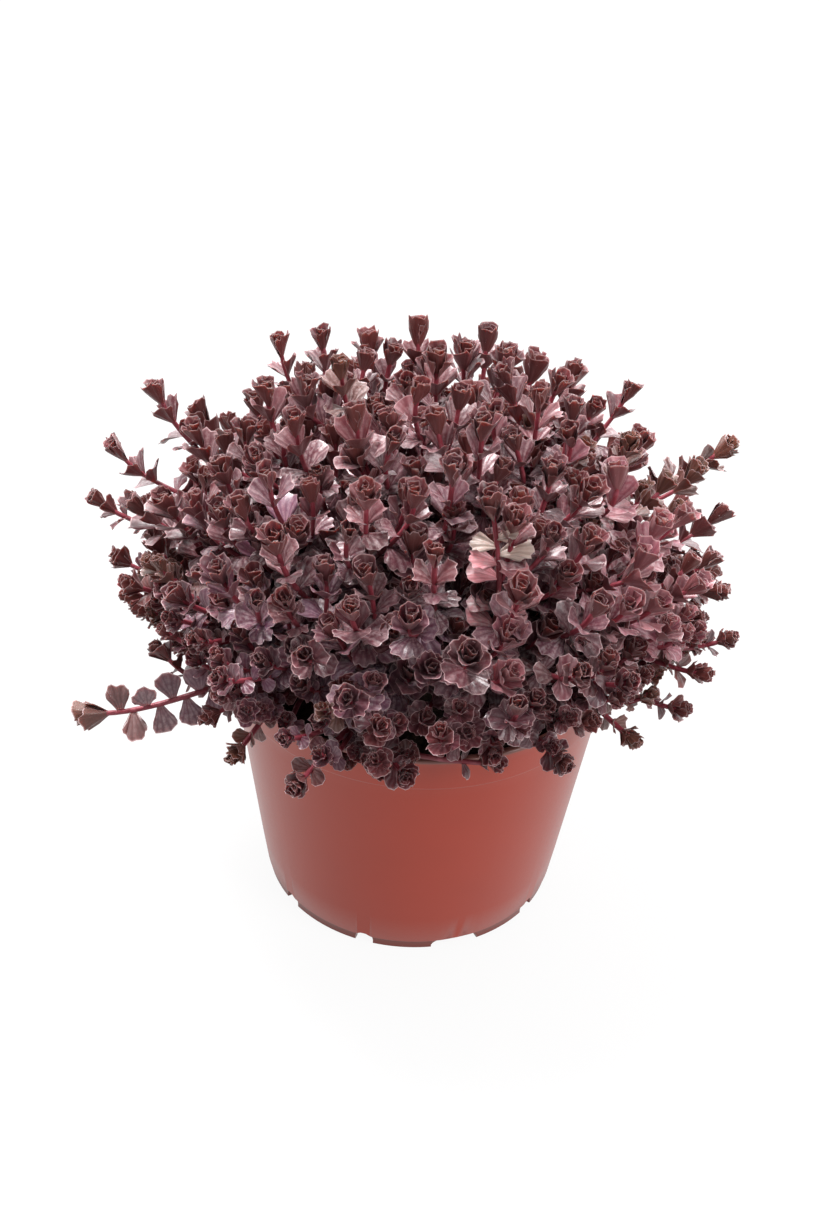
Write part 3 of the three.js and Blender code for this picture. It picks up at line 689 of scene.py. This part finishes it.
def leavesPart(leaves, cell, columns):
    # all the leaves of one kind of grid at once
    grid = leafGrid(leaves[0]["kind"])
    table = {key: np.array([one[key] for one in leaves]) for key in leaves[0] if key != "kind"}
    points = leafPoints(grid, table)
    count, each = points.shape[:2]
    corner = np.stack([grid["t"] / 2 + 0.5, grid["s"]], -1)[grid["faces"]]
    lowFace = (np.arange(len(grid["faces"])) >= grid["tops"]).astype(float)
    inCell = cells["pad"] + corner * (1 - 2 * cells["pad"])
    inCell = np.stack([(inCell[..., 0] + lowFace[:, None]) / 2, inCell[..., 1]], -1)
    origins = np.array([cellOf(cell + k, columns) for k in range(count)])
    return {
        "points": points.reshape(-1, 3),
        "faces": (grid["faces"][None] + each * np.arange(count)[:, None, None]).reshape(-1, 4).tolist(),
        "leafMap": np.tile(corner[None], (count, 1, 1, 1)).reshape(-1, 2),
        "OFBake": (origins[:, None, None] + inCell[None] * (1 / columns)).reshape(-1, 2),
        "tint": np.repeat(table["tint"], each, axis=0),
        "paleness": np.repeat(table["paleness"], each), "bloom": np.repeat(table["bloom"], each),
        "under": np.tile(lowFace, count), "rim": np.tile(grid["rim"], count),
    }


def twigPart(shoot, cell, columns):
    skin, rows, share = twigSkin(shoot)
    sides = twig["sides"]
    ring = np.arange(sides)
    after = (ring + 1) % sides
    walls, uv = [], []
    for row in range(rows - 1):
        a, b = row * sides + ring, row * sides + after
        walls.append(np.stack([a, b, b + sides, a + sides], -1))
        u0, u1 = ring / sides, (ring + 1) / sides
        v0, v1 = np.full(sides, row / (rows - 1)), np.full(sides, (row + 1) / (rows - 1))
        uv.append(np.stack([np.stack(pair, -1) for pair in ((u0, v0), (u1, v0), (u1, v1), (u0, v1))], 1))
    uv = np.concatenate(uv)
    turn = ring * 2 * math.pi / sides
    disc = np.stack([np.cos(turn), np.sin(turn)], -1) * cells["capRadius"]
    origin, size, pad = cellOf(cell, columns), 1 / columns, cells["pad"]
    wallUv = (pad + uv * [cells["wallWidth"] - 2 * pad, 1 - 2 * pad]).reshape(-1, 2)
    capUv = [origin + (disc[::-1] + cells["footCap"]) * size, origin + (disc + cells["tipCap"]) * size]
    caps = [ring[::-1].tolist(), ((rows - 1) * sides + ring).tolist()]
    return {
        "points": skin, "faces": np.concatenate(walls).tolist() + caps,
        "leafMap": np.concatenate([uv.reshape(-1, 2), disc[::-1] + 0.5, disc + 0.5]),
        "OFBake": np.concatenate([origin + wallUv * size] + capUv),
        "tint": np.repeat(share[:, None], 3, axis=1).repeat(sides, axis=0),
        "paleness": np.zeros(len(skin)), "bloom": np.zeros(len(skin)),
        "under": np.full(len(uv) + 2, 2.0), "rim": np.zeros(len(skin), bool),
    }


def addObject(name, data):
    made = bpy.data.objects.new(name, data)
    bpy.context.collection.objects.link(made)
    return made


def shootPiece(name, members):
    # one mesh of all the shoots of a stem; "under" is 0 on upper faces, 1 on under faces and 2 on twigs
    leavesOf = {kind: [] for kind in grids}
    for index, shoot in members:
        for one in shootLeaves(shoot, index):
            leavesOf[one["kind"]].append(one)
    columns = math.ceil(math.sqrt(len(members) + sum(len(leaves) for leaves in leavesOf.values())))
    parts = []
    cell = 0
    for leaves in leavesOf.values():
        if leaves:
            parts.append(leavesPart(leaves, cell, columns))
            cell += len(leaves)
    for index, shoot in members:
        parts.append(twigPart(shoot, cell, columns))
        cell += 1
    faces, total = [], 0
    for part in parts:
        faces += [[corner + total for corner in face] for face in part["faces"]]
        total += len(part["points"])
    whole = {key: np.concatenate([part[key] for part in parts]) for key in parts[0] if key != "faces"}
    mesh = bpy.data.meshes.new(name)
    mesh.from_pydata((whole["points"] * mm).tolist(), [], faces)
    for key in ("leafMap", "OFBake"):
        mesh.uv_layers.new(name=key).data.foreach_set("uv", whole[key].ravel())
    mesh.uv_layers["leafMap"].active_render = True
    mesh.attributes.new("tint", "FLOAT_VECTOR", "POINT").data.foreach_set("vector", whole["tint"].ravel())
    for key, domain in (("paleness", "POINT"), ("bloom", "POINT"), ("under", "FACE")):
        mesh.attributes.new(key, "FLOAT", domain).data.foreach_set("value", whole[key])
    mesh.materials.append(materials["leaf"])
    mesh.materials.append(materials["stem"])
    mesh.polygons.foreach_set("material_index", (whole["under"] > 1.5).astype(int))
    mesh.polygons.foreach_set("use_smooth", np.ones(len(faces), bool))
    ends = np.zeros(2 * len(mesh.edges), int)
    mesh.edges.foreach_get("vertices", ends)
    thin = whole["rim"][ends].reshape(-1, 2).all(axis=1)
    mesh.attributes.new("sharp_edge", "BOOLEAN", "EDGE").data.foreach_set("value", thin)
    mesh.update()
    return addObject(name, mesh)


def addNode(tree, kind, settings=None, links=None):
    # one node: settings by property or socket, links by socket, from an output or a node's first one in use
    made = tree.nodes.new("ShaderNode" + kind)
    for name, value in (settings or {}).items():
        if isinstance(name, str) and hasattr(made, name):
            setattr(made, name, value)
        else:
            made.inputs[name].default_value = value
    for name, source in (links or {}).items():
        if isinstance(source, bpy.types.Node):
            source = next(output for output in source.outputs if output.enabled)
        tree.links.new(source, made.inputs[name])
    return made


def newMaterial(name):
    material = bpy.data.materials.new(name)
    material.use_nodes = True
    material.node_tree.nodes.clear()
    return material, partial(addNode, material.node_tree)


def colour(code):
    return linear(code) + [1]


# Sedum leaf: a fleshy blade with a waxy skin. The wax gives a broad soft shine and a pale bloom on the
# older leaves; the bloom's colour is also a painted highlight on the ridges, and the grooves get painted
# shade.
# The toothed margin is thin and lets light through, so it reads pale pink.
leafFinish = {
    # the bloom colour is the pale wax bloom and a painted highlight in one
    "margin": "#d2acae", "vein": "#96686c", "under": "#64362e", "underShare": 0.5, "bloom": "#dccaca",
    # the groove colour is painted shade
    "paintedGrooveShade": "#4a1c28", "roughness": (0.24, 0.4), "grainMm": 1.3, "bloomAndHighlightMost": 0.88,
    # three veins each side of the midrib; shares of their own colour in veins, of painted shade in the
    # grooves, and of bloom with its painted highlight in the grooves
    "veinWave": 18.85, "veinShare": 0.18, "grooveShadeShare": 0.28, "grooveBloomAndHighlight": 0.35,
    # the pale margin, as shares of the way from the middle of the blade to its edge
    "marginFrom": 0.945, "marginFull": 0.99, "marginShare": 0.8,
    "sheen": 0.16, "sheenTint": "#ecd2d8", "coat": 0.26, "coatRoughness": 0.25, "reliefMm": 0.25,
    # light that passes a little way into the flesh
    "glow": 0.15, "glowMm": 0.8, "glowTint": (1.0, 0.35, 0.3),
}


def makeLeafMaterial():
    material, add = newMaterial("waxySedumLeaf")
    names = ("tint", "paleness", "bloom", "under")
    tint, paleness, bloom, under = [add("Attribute", {"attribute_name": name}) for name in names]
    uv = add("UVMap", {"uv_map": "leafMap"})
    place = add("SeparateXYZ", links={0: uv})
    across = add("Math", {"operation": "MULTIPLY_ADD", 1: 2, 2: -1}, {0: place.outputs["X"]})
    edge = add("Math", {"operation": "ABSOLUTE"}, {0: across})
    outer = add("Math", {"operation": "MAXIMUM"}, {0: edge, 1: place.outputs["Y"]})
    position = add("TexCoord").outputs["Object"]
    grain = add(
        "TexNoise", {"Scale": 1 / (leafFinish["grainMm"] * mm), "Detail": 3.0, "Roughness": 0.6},
        {"Vector": position},
    )
    # veins fan out from the foot to the teeth
    fan = add("Math", {"operation": "MULTIPLY", 1: leafFinish["veinWave"]}, {0: across})
    wave = add("Math", {"operation": "COSINE"}, {0: fan})
    vein = add(
        "MapRange", {"interpolation_type": "SMOOTHSTEP", "From Min": 0.55, "From Max": 1.0},
        {"Value": wave},
    )
    veinShow = add("Math", {"operation": "MULTIPLY", 1: leafFinish["veinShare"]}, {0: vein})
    veined = add(
        "Mix", {"data_type": "RGBA", 7: colour(leafFinish["vein"])},
        {0: veinShow, 6: tint.outputs["Vector"]},
    )
    # between the veins the grooves get painted shade, a darker colour mixed in as if shaded in the creases
    paintedGrooveShade = add(
        "MapRange", {"interpolation_type": "SMOOTHSTEP", "From Min": 0.1, "From Max": -0.9},
        {"Value": wave},
    )
    grooveShadeAmount = add("Math", {"operation": "MULTIPLY", 1: leafFinish["grooveShadeShare"]}, {0: paintedGrooveShade})
    grooveShaded = add("Mix", {"data_type": "RGBA", 7: colour(leafFinish["paintedGrooveShade"])}, {0: grooveShadeAmount, 6: veined})
    # the bloom lies in soft patches on the upper face, thickest on the ridges; its pale colour is partly a
    # painted highlight where the ridges would catch the light
    patch = add(
        "MapRange", {"From Min": 0.35, "From Max": 0.7, "To Max": leafFinish["bloomAndHighlightMost"]},
        {"Value": grain},
    )
    ridged = add("MapRange", {"To Min": 1.0, "To Max": leafFinish["grooveBloomAndHighlight"]}, {"Value": paintedGrooveShade})
    patchy = add("Math", {"operation": "MULTIPLY"}, {0: patch, 1: ridged})
    bloomAndHighlightMask = add("Math", {"operation": "MULTIPLY"}, {0: patchy, 1: bloom.outputs["Fac"]})
    dusty = add("Mix", {"data_type": "RGBA", 7: colour(leafFinish["bloom"])}, {0: bloomAndHighlightMask, 6: grooveShaded})
    # the under face is a warmer brown, without bloom or painted highlight
    warm = add(
        "Mix", {"data_type": "RGBA", 0: leafFinish["underShare"], 7: colour(leafFinish["under"])},
        {6: veined},
    )
    below = add("Mix", {"data_type": "RGBA"}, {0: under.outputs["Fac"], 6: dusty, 7: warm})
    margin = add(
        "MapRange",
        {
            "interpolation_type": "SMOOTHSTEP", "From Min": leafFinish["marginFrom"],
            "From Max": leafFinish["marginFull"], "To Max": leafFinish["marginShare"],
        },
        {"Value": outer},
    )
    pale = add("Math", {"operation": "MULTIPLY"}, {0: margin, 1: paleness.outputs["Fac"]})
    rimmed = add("Mix", {"data_type": "RGBA", 7: colour(leafFinish["margin"])}, {0: pale, 6: below})
    rough = add(
        "MapRange", {"To Min": leafFinish["roughness"][0], "To Max": leafFinish["roughness"][1]},
        {"Value": grain},
    )
    relief = add("Math", {"operation": "MULTIPLY_ADD", 1: -0.5}, {0: vein, 2: grain})
    bump = add("Bump", {"Strength": 0.35, "Distance": leafFinish["reliefMm"] * mm}, {"Height": relief})
    shader = add(
        "BsdfPrincipled",
        {
            "IOR": 1.45, "Sheen Weight": leafFinish["sheen"], "Sheen Roughness": 0.4,
            "Sheen Tint": colour(leafFinish["sheenTint"]), "Coat Weight": leafFinish["coat"],
            "Coat Roughness": leafFinish["coatRoughness"], "Subsurface Weight": leafFinish["glow"],
            "Subsurface Radius": leafFinish["glowTint"], "Subsurface Scale": leafFinish["glowMm"] * mm,
        },
        {"Base Color": rimmed, "Roughness": rough, "Normal": bump},
    )
    add("OutputMaterial", links={0: shader})
    return material


# Sedum stem: smooth fleshy bark, crimson where young and browner at the foot, with a soft wet-looking shine
stemFinish = {
    "foot": "#4c2424", "young": "#86323e", "pale": "#b0646e",
    "roughness": 0.4, "mottleMm": 2.5, "reliefMm": 0.2,
}


def makeStemMaterial():
    material, add = newMaterial("fleshySedumStem")
    tint = add("Attribute", {"attribute_name": "tint"})
    share = add("SeparateXYZ", links={0: tint.outputs["Vector"]})
    position = add("TexCoord").outputs["Object"]
    mottle = add(
        "TexNoise", {"Scale": 1 / (stemFinish["mottleMm"] * mm), "Detail": 3.0},
        {"Vector": position},
    )
    reach = add("MapRange", {"From Min": 0.1, "From Max": 0.7}, {"Value": share.outputs["X"]})
    aged = add(
        "Mix", {"data_type": "RGBA", 6: colour(stemFinish["foot"]), 7: colour(stemFinish["young"])},
        {0: reach},
    )
    patch = add("MapRange", {"From Min": 0.5, "From Max": 0.75, "To Max": 0.6}, {"Value": mottle})
    mixed = add("Mix", {"data_type": "RGBA", 7: colour(stemFinish["pale"])}, {0: patch, 6: aged})
    bump = add("Bump", {"Strength": 0.3, "Distance": stemFinish["reliefMm"] * mm}, {"Height": mottle})
    shader = add(
        "BsdfPrincipled", {"IOR": 1.45, "Roughness": stemFinish["roughness"]},
        {"Base Color": mixed, "Normal": bump},
    )
    add("OutputMaterial", links={0: shader})
    return material


# Polypropylene, injection moulded: an even terracotta colour with a satin skin that turns pale and
# glossy at grazing angles, faint flow marks, a greyer lip that is a painted reflection, and a darker foot
# that is painted shade
potFinish = {
    # the lip colour is a painted reflection and the foot colour is painted shade
    "body": "#a93318", "lip": "#85564e", "foot": "#7c3226", "roughness": (0.3, 0.42), "coat": (0.7, 0.2),
    # flow marks with their darkest and lightest shade, the heights of the painted lip reflection and the
    # painted foot shade, and the fine relief
    "flowMm": 22, "flowShade": (0.94, 1.05), "lipReflectionMm": (94.4, 95.2), "footShadeMm": (3.6, 2.8), "grainMm": 0.9,
    "reliefMm": 0.1,
}


def makePotMaterial():
    material, add = newMaterial("mouldedPolypropylene")
    position = add("TexCoord").outputs["Object"]
    place = add("SeparateXYZ", links={0: position})
    grain = add(
        "TexNoise", {"Scale": 1 / (potFinish["grainMm"] * mm), "Detail": 4.0, "Roughness": 0.65},
        {"Vector": position},
    )
    broad = add("TexNoise", {"Scale": 1 / (potFinish["flowMm"] * mm), "Detail": 2.0}, {"Vector": position})
    shade = add(
        "MapRange", {"To Min": potFinish["flowShade"][0], "To Max": potFinish["flowShade"][1]},
        {"Value": broad},
    )
    body = add(
        "Mix", {"data_type": "RGBA", "blend_type": "MULTIPLY", 0: 1.0, 6: colour(potFinish["body"])},
        {7: shade},
    )
    # painted reflection: the colour turns greyer over the top of the lip, standing in for the light it
    # reflects
    lipReflectionShare = add(
        "MapRange", {"From Min": potFinish["lipReflectionMm"][0] * mm, "From Max": potFinish["lipReflectionMm"][1] * mm},
        {"Value": place.outputs["Z"]},
    )
    # painted shade: the colour turns darker at the foot, under the base
    footShadeShare = add(
        "MapRange", {"From Min": potFinish["footShadeMm"][0] * mm, "From Max": potFinish["footShadeMm"][1] * mm},
        {"Value": place.outputs["Z"]},
    )
    lipReflected = add("Mix", {"data_type": "RGBA", 7: colour(potFinish["lip"])}, {0: lipReflectionShare, 6: body})
    footShaded = add("Mix", {"data_type": "RGBA", 7: colour(potFinish["foot"])}, {0: footShadeShare, 6: lipReflected})
    rough = add(
        "MapRange", {"To Min": potFinish["roughness"][0], "To Max": potFinish["roughness"][1]},
        {"Value": grain},
    )
    bump = add("Bump", {"Strength": 0.12, "Distance": potFinish["reliefMm"] * mm}, {"Height": grain})
    shader = add(
        "BsdfPrincipled",
        {
            "IOR": 1.5, "Specular IOR Level": 0.25, "Coat Weight": potFinish["coat"][0],
            "Coat Roughness": potFinish["coat"][1],
        },
        {"Base Color": footShaded, "Roughness": rough, "Normal": bump},
    )
    add("OutputMaterial", links={0: shader})
    return material


# Peat potting mix, loose and crumbled: matt, near black where damp, with paler fibres on top
soilFinish = {
    "dark": "#1d1512", "light": "#4a382c", "fibre": "#6e5540", "fibreShare": 0.7,
    "crumbMm": 2.2, "fibreMm": 1.6, "roughness": 0.95, "reliefMm": 0.6,
}


def makeSoilMaterial():
    material, add = newMaterial("peatPottingMix")
    position = add("TexCoord").outputs["Object"]
    crumb = add(
        "TexNoise", {"Scale": 1 / (soilFinish["crumbMm"] * mm), "Detail": 6.0, "Roughness": 0.7},
        {"Vector": position},
    )
    fleck = add("TexVoronoi", {"Scale": 1 / (soilFinish["fibreMm"] * mm)}, {"Vector": position})
    shade = add("MapRange", {"From Min": 0.35, "From Max": 0.7}, {"Value": crumb})
    mixed = add(
        "Mix", {"data_type": "RGBA", 6: colour(soilFinish["dark"]), 7: colour(soilFinish["light"])},
        {0: shade},
    )
    few = add(
        "MapRange", {"From Min": 0.16, "From Max": 0.1, "To Max": soilFinish["fibreShare"]},
        {"Value": fleck},
    )
    flecked = add("Mix", {"data_type": "RGBA", 7: colour(soilFinish["fibre"])}, {0: few, 6: mixed})
    bump = add("Bump", {"Strength": 0.8, "Distance": soilFinish["reliefMm"] * mm}, {"Height": crumb})
    shader = add(
        "BsdfPrincipled", {"Roughness": soilFinish["roughness"], "IOR": 1.4},
        {"Base Color": flecked, "Normal": bump},
    )
    add("OutputMaterial", links={0: shader})
    return material


materials = {
    "leaf": makeLeafMaterial(), "stem": makeStemMaterial(),
    "pot": makePotMaterial(), "soil": makeSoilMaterial(),
}
print("mixed", len(materials), "materials")


def wallRadius(z):
    slope = (pot["rimRadius"] - pot["baseRadius"]) * (z - pot["foot"])
    return pot["baseRadius"] + slope / (pot["height"] - pot["foot"])


def innerRadius(z):
    return wallRadius(z) - pot["wall"] - pot["bandProud"]


def notches():
    # the turn, width and height of each drain notch
    for k in range(pot["notches"]):
        width, height = pot["smallNotch"] if k % pot["wideEvery"] else pot["wideNotch"]
        yield math.radians(pot["notchTurn"] + k * 360 / pot["notches"]), width, height


def notchArch(angle):
    # height of the drain notch above this angle of the foot, 0 between notches
    for turn, width, height in notches():
        off = (angle - turn + math.pi) % (2 * math.pi) - math.pi
        along = abs(off) * pot["baseRadius"] / (width / 2)
        if along < 1:
            return height * (pot["notchEnds"] + 0.7 * (1 - along ** pot["notchSquare"]) ** pot["notchRound"])
    return 0


def lathe(name, rings, material):
    # rings of points from the middle of the underside round to the middle of the top
    crease = math.radians(38)
    count = len(rings[0])
    points = [point for ring in rings for point in ring]
    low, high = len(points), len(points) + 1
    points += [(0, 0, rings[0][0][2]), (0, 0, rings[-1][0][2])]
    faces = []
    for row in range(len(rings) - 1):
        for k in range(count):
            a, b = row * count + k, row * count + (k + 1) % count
            faces.append((a, b, b + count, a + count))
    last = (len(rings) - 1) * count
    for k in range(count):
        after = (k + 1) % count
        faces.append((low, after, k))
        faces.append((high, last + k, last + after))
    mesh = bpy.data.meshes.new(name)
    mesh.from_pydata([[c * mm for c in point] for point in points], [], faces)
    mesh.materials.append(material)
    mesh.polygons.foreach_set("use_smooth", np.ones(len(faces), bool))
    mesh.set_sharp_from_angle(angle=crease)
    return addObject(name, mesh)


def potProfile():
    # radius and height, from the middle of the underside out, up the wall, and down the inside
    band = pot["height"] - pot["bandDrop"]
    foot, base, disc, notch = pot["foot"], pot["baseRadius"], pot["restDisc"], pot["notchInner"]
    rim, top, floorTop = pot["rimRadius"], pot["height"], foot + pot["wall"]
    ringOut = base - pot["footStep"]
    ringIn = base - pot["footStep"] - pot["footWidth"]
    lowBand, highBand = wallRadius(band) - pot["bandProud"], wallRadius(band)
    under = [(disc - 2, 0), (disc, 0), (disc + 0.5, 0.5), (disc + 1.5, foot), (notch - 0.05, foot)]
    under += [(notch, foot)]
    footRing = [(ringIn - 0.4, foot), (ringIn, 0.15), (ringIn + 0.3, 0), (ringOut - 0.25, 0), (ringOut, 0.25)]
    footRing += [(ringOut, foot - 0.2), (ringOut + 0.1, foot), (base - 0.15, foot + 0.7), (base, foot + 0.95)]
    heights = (16, 30, 44, 58, 70, 78, band - 0.25)
    wall = [(wallRadius(z) - pot["bandProud"] * z / band, z) for z in heights]
    collar = [(lowBand + 0.02, band), (lowBand + 0.3, band + 0.22), (highBand, band + 0.55)]
    collar += [(highBand + 0.05, band + 0.9)]
    lip = [(rim - 0.5, top - 4), (rim - 0.12, top - 1.4), (rim, top - 1), (rim - 0.06, top - 0.55)]
    lip += [(rim - 0.3, top - 0.18), (rim - 0.7, top), (rim - 1.9, top)]
    inside = [(rim - 2.35, top - 0.15), (rim - 2.6, top - 0.5), (rim - 2.72, top - 1)]
    inside += [(innerRadius(band) + 0.1, band + 0.8)] + [(innerRadius(z), z) for z in (band, 60, 30)]
    inside += [(innerRadius(floorTop + 1), floorTop + 1.2), (innerRadius(floorTop) - 0.6, floorTop)]
    inside += [(46, floorTop), (disc + 0.9, floorTop), (disc - 0.9, pot["wall"]), (disc - 3, pot["wall"])]
    outside = under + footRing + wall + collar + lip
    return outside + inside, len(outside)


def makePotPiece():
    profile, inner = potProfile()
    angles = list(np.arange(pot["sides"]) * 2 * math.pi / pot["sides"])
    for turn, width, height in notches():
        across = width / 2 / pot["baseRadius"]
        clear = across + pot["notchClear"]
        angles = [a for a in angles if abs((a - turn + math.pi) % (2 * math.pi) - math.pi) > clear]
        angles += [(turn + across * part) % (2 * math.pi) for part in pot["notchEdges"]]
    angles = sorted(angles)
    arches = [notchArch(angle) for angle in angles]
    rings = []
    for k, (radius, z) in enumerate(profile):
        ring = []
        for angle, arch in zip(angles, arches):
            height = z
            if radius >= pot["notchInner"] and arch:
                height = max(z, arch if k < inner else arch + pot["notchStep"])
            ring.append((radius * math.cos(angle), radius * math.sin(angle), height))
        rings.append(ring)
    return lathe("terracotta_pot", rings, materials["pot"])


# The soil plug fills the pot up to a crumbled top that is a little higher in the middle.
soil = {
    "clear": 0.3, "sides": 150, "rows": 44, "footRadii": (27, 30.6), "edgeDrop": 0.6, "rise": 1.6,
    "lumps": 0.55, "bits": 0.35, "smoothEdge": 2,
}


def crumbHeight(x, y):
    # a few sine ripples and lumps that read as crumbled peat
    lumps = math.sin(x * 0.9 + 1.7 * math.sin(y * 0.7)) * math.cos(y * 0.8 + 1.3 * math.sin(x * 0.6))
    bits = math.sin(x * 2.3 + y * 1.1) * math.sin(y * 2.7 - x * 0.9)
    return soil["lumps"] * lumps + soil["bits"] * bits


def makeSoilPiece():
    clear, high = soil["clear"], stem["soilHeight"]
    floorTop = pot["foot"] + pot["wall"]
    edge = innerRadius(high) - clear
    turns = np.arange(soil["sides"]) * 2 * math.pi / soil["sides"]
    inner, outer = soil["footRadii"]
    sides = [(inner, pot["wall"] + clear), (outer, floorTop + clear)]
    sides += [(innerRadius(floorTop) - clear - 1, floorTop + clear), (edge - 0.2, high - 2)]
    rings = [[(radius * math.cos(a), radius * math.sin(a), z) for a in turns] for radius, z in sides]
    for radius in np.concatenate([[edge], np.linspace(edge - 0.8, 1.5, soil["rows"])]):
        fade = min(1, (edge - radius) / soil["smoothEdge"])
        dome = high - soil["edgeDrop"] + soil["rise"] * (1 - radius / edge)
        ring = []
        for a in turns:
            x, y = radius * math.cos(a), radius * math.sin(a)
            ring.append((x, y, dome + crumbHeight(x, y) * fade))
        rings.append(ring)
    return lathe("peat_soil", rings, materials["soil"])


potPiece = makePotPiece()
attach(potPiece, "root")
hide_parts("pot")
soilPiece = makeSoilPiece()
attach(soilPiece, "root")
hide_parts("potting_soil")
print("turned the pot and filled it")

for number in range(len(stems)):
    members = [(index, shoot) for index, shoot in enumerate(shoots) if shoot["node"] == number]
    piece = shootPiece("leafy_shoots_%02d" % (number + 1), members)
    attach(piece, "root")
    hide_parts("leafy_stem_%02d" % (number + 1))
made = [o.data for o in bpy.data.objects if o.name.startswith(("leafy_shoots", "terracotta", "peat"))]
print("leafed the shoots,", sum(len(m.loops) - 2 * len(m.polygons) for m in made), "triangles in all")


# Studio: a white sweep of floor that stays near white, white all round, and two soft boxes
studio = {
    "world": 0.74, "front": 0.405, "back": 3.7, "floorGlow": 0.92, "floorSpill": 0.56,
    "floorShade": "#4a4a4a", "litMiddle": (0, 0, 0.12), "reach": 3,
    "boxes": {
        "topBox": {"place": (-0.3, 0.3, 1.2), "size": 0.5, "power": 25},
        "sideBox": {"place": (0.75, -0.55, 0.75), "size": 0.5, "power": 6},
    },
}


def makeStudio():
    world = bpy.data.worlds.new("studio")
    bpy.context.scene.world = world
    world.use_nodes = True
    # white walls, darker on the viewer's side and brightest at the back; the camera itself sees plain white
    world.node_tree.nodes.clear()
    add = partial(addNode, world.node_tree)
    way = add("TexCoord")
    parts = add("SeparateXYZ", links={0: way})
    nearSide = add(
        "MapRange",
        {"From Min": -0.85, "From Max": -0.2, "To Min": studio["front"], "To Max": studio["world"]},
        {"Value": parts.outputs["Y"]},
    )
    farSide = add(
        "MapRange",
        {"From Min": 0.2, "From Max": 0.8, "To Min": 0.0, "To Max": studio["back"] - studio["world"]},
        {"Value": parts.outputs["Y"]},
    )
    side = add("Math", {"operation": "ADD"}, {0: nearSide, 1: farSide})
    room = add("Background", {"Color": (1, 1, 1, 1)}, {"Strength": side})
    plain = add("Background", {"Color": (1, 1, 1, 1), "Strength": 1.0})
    rays = add("LightPath")
    shown = add("MixShader", links={0: rays.outputs["Is Camera Ray"], 1: room, 2: plain})
    add("OutputWorld", links={0: shown})
    material, add = newMaterial("paperSweep")
    matt = add("BsdfDiffuse", {"Color": colour(studio["floorShade"])})
    # the sweep looks whiter than the light that it throws on the pot
    seen = add("LightPath")
    strength = add(
        "MapRange", {"To Min": studio["floorSpill"], "To Max": studio["floorGlow"]},
        {"Value": seen.outputs["Is Camera Ray"]},
    )
    glow = add("Emission", {"Color": (1, 1, 1, 1)}, {"Strength": strength})
    both = add("AddShader", links={0: matt, 1: glow})
    add("OutputMaterial", links={0: both})
    mesh = bpy.data.meshes.new("sweep")
    reach = studio["reach"]
    corners = [(-reach, -reach, 0), (reach, -reach, 0), (reach, reach, 0), (-reach, reach, 0)]
    mesh.from_pydata(corners, [], [(0, 1, 2, 3)])
    mesh.materials.append(material)
    sweep = addObject("paper_sweep", mesh)
    for name, box in studio["boxes"].items():
        light = bpy.data.lights.new(name, "AREA")
        light.energy = box["power"]
        light.size = box["size"]
        lamp = addObject(name, light)
        spot = np.array(box["place"])
        backward = unit(spot - np.array(studio["litMiddle"]))
        right = unit(np.cross(up, backward))
        turn = Matrix(np.stack([right, np.cross(backward, right), backward], 1).tolist()).to_4x4()
        lamp.matrix_world = Matrix.Translation(spot.tolist()) @ turn
    bpy.context.scene.view_settings.view_transform = "Standard"


# Camera: the photo's viewing angle, from a fit to the pot's rim, band line and foot
shot = {
    "target": (-3.9, 0, 103.6), "distance": 650, "elevation": 36.1, "roll": 3.0, "focal": 1960,
    "frameHeight": 1232, "sensor": 36,
}


def makeCamera():
    camera = bpy.data.cameras.new("photo")
    camera.sensor_fit = "VERTICAL"
    camera.sensor_height = shot["sensor"]
    camera.lens = shot["focal"] / shot["frameHeight"] * shot["sensor"]
    camera.clip_start = 0.01
    made = addObject("photo", camera)
    rise, roll = math.radians(shot["elevation"]), math.radians(shot["roll"])
    backward = np.array([0, -math.cos(rise), math.sin(rise)])
    level = np.array([0, math.sin(rise), math.cos(rise)])
    right = np.array([1, 0, 0]) * math.cos(roll) + level * math.sin(roll)
    above = np.cross(backward, right)
    spot = (np.array(shot["target"]) + backward * shot["distance"]) * mm
    turn = Matrix(np.stack([right, above, backward], 1).tolist()).to_4x4()
    made.matrix_world = Matrix.Translation(spot.tolist()) @ turn
    bpy.context.scene.camera = made


makeStudio()
makeCamera()
print("set the studio and the camera")
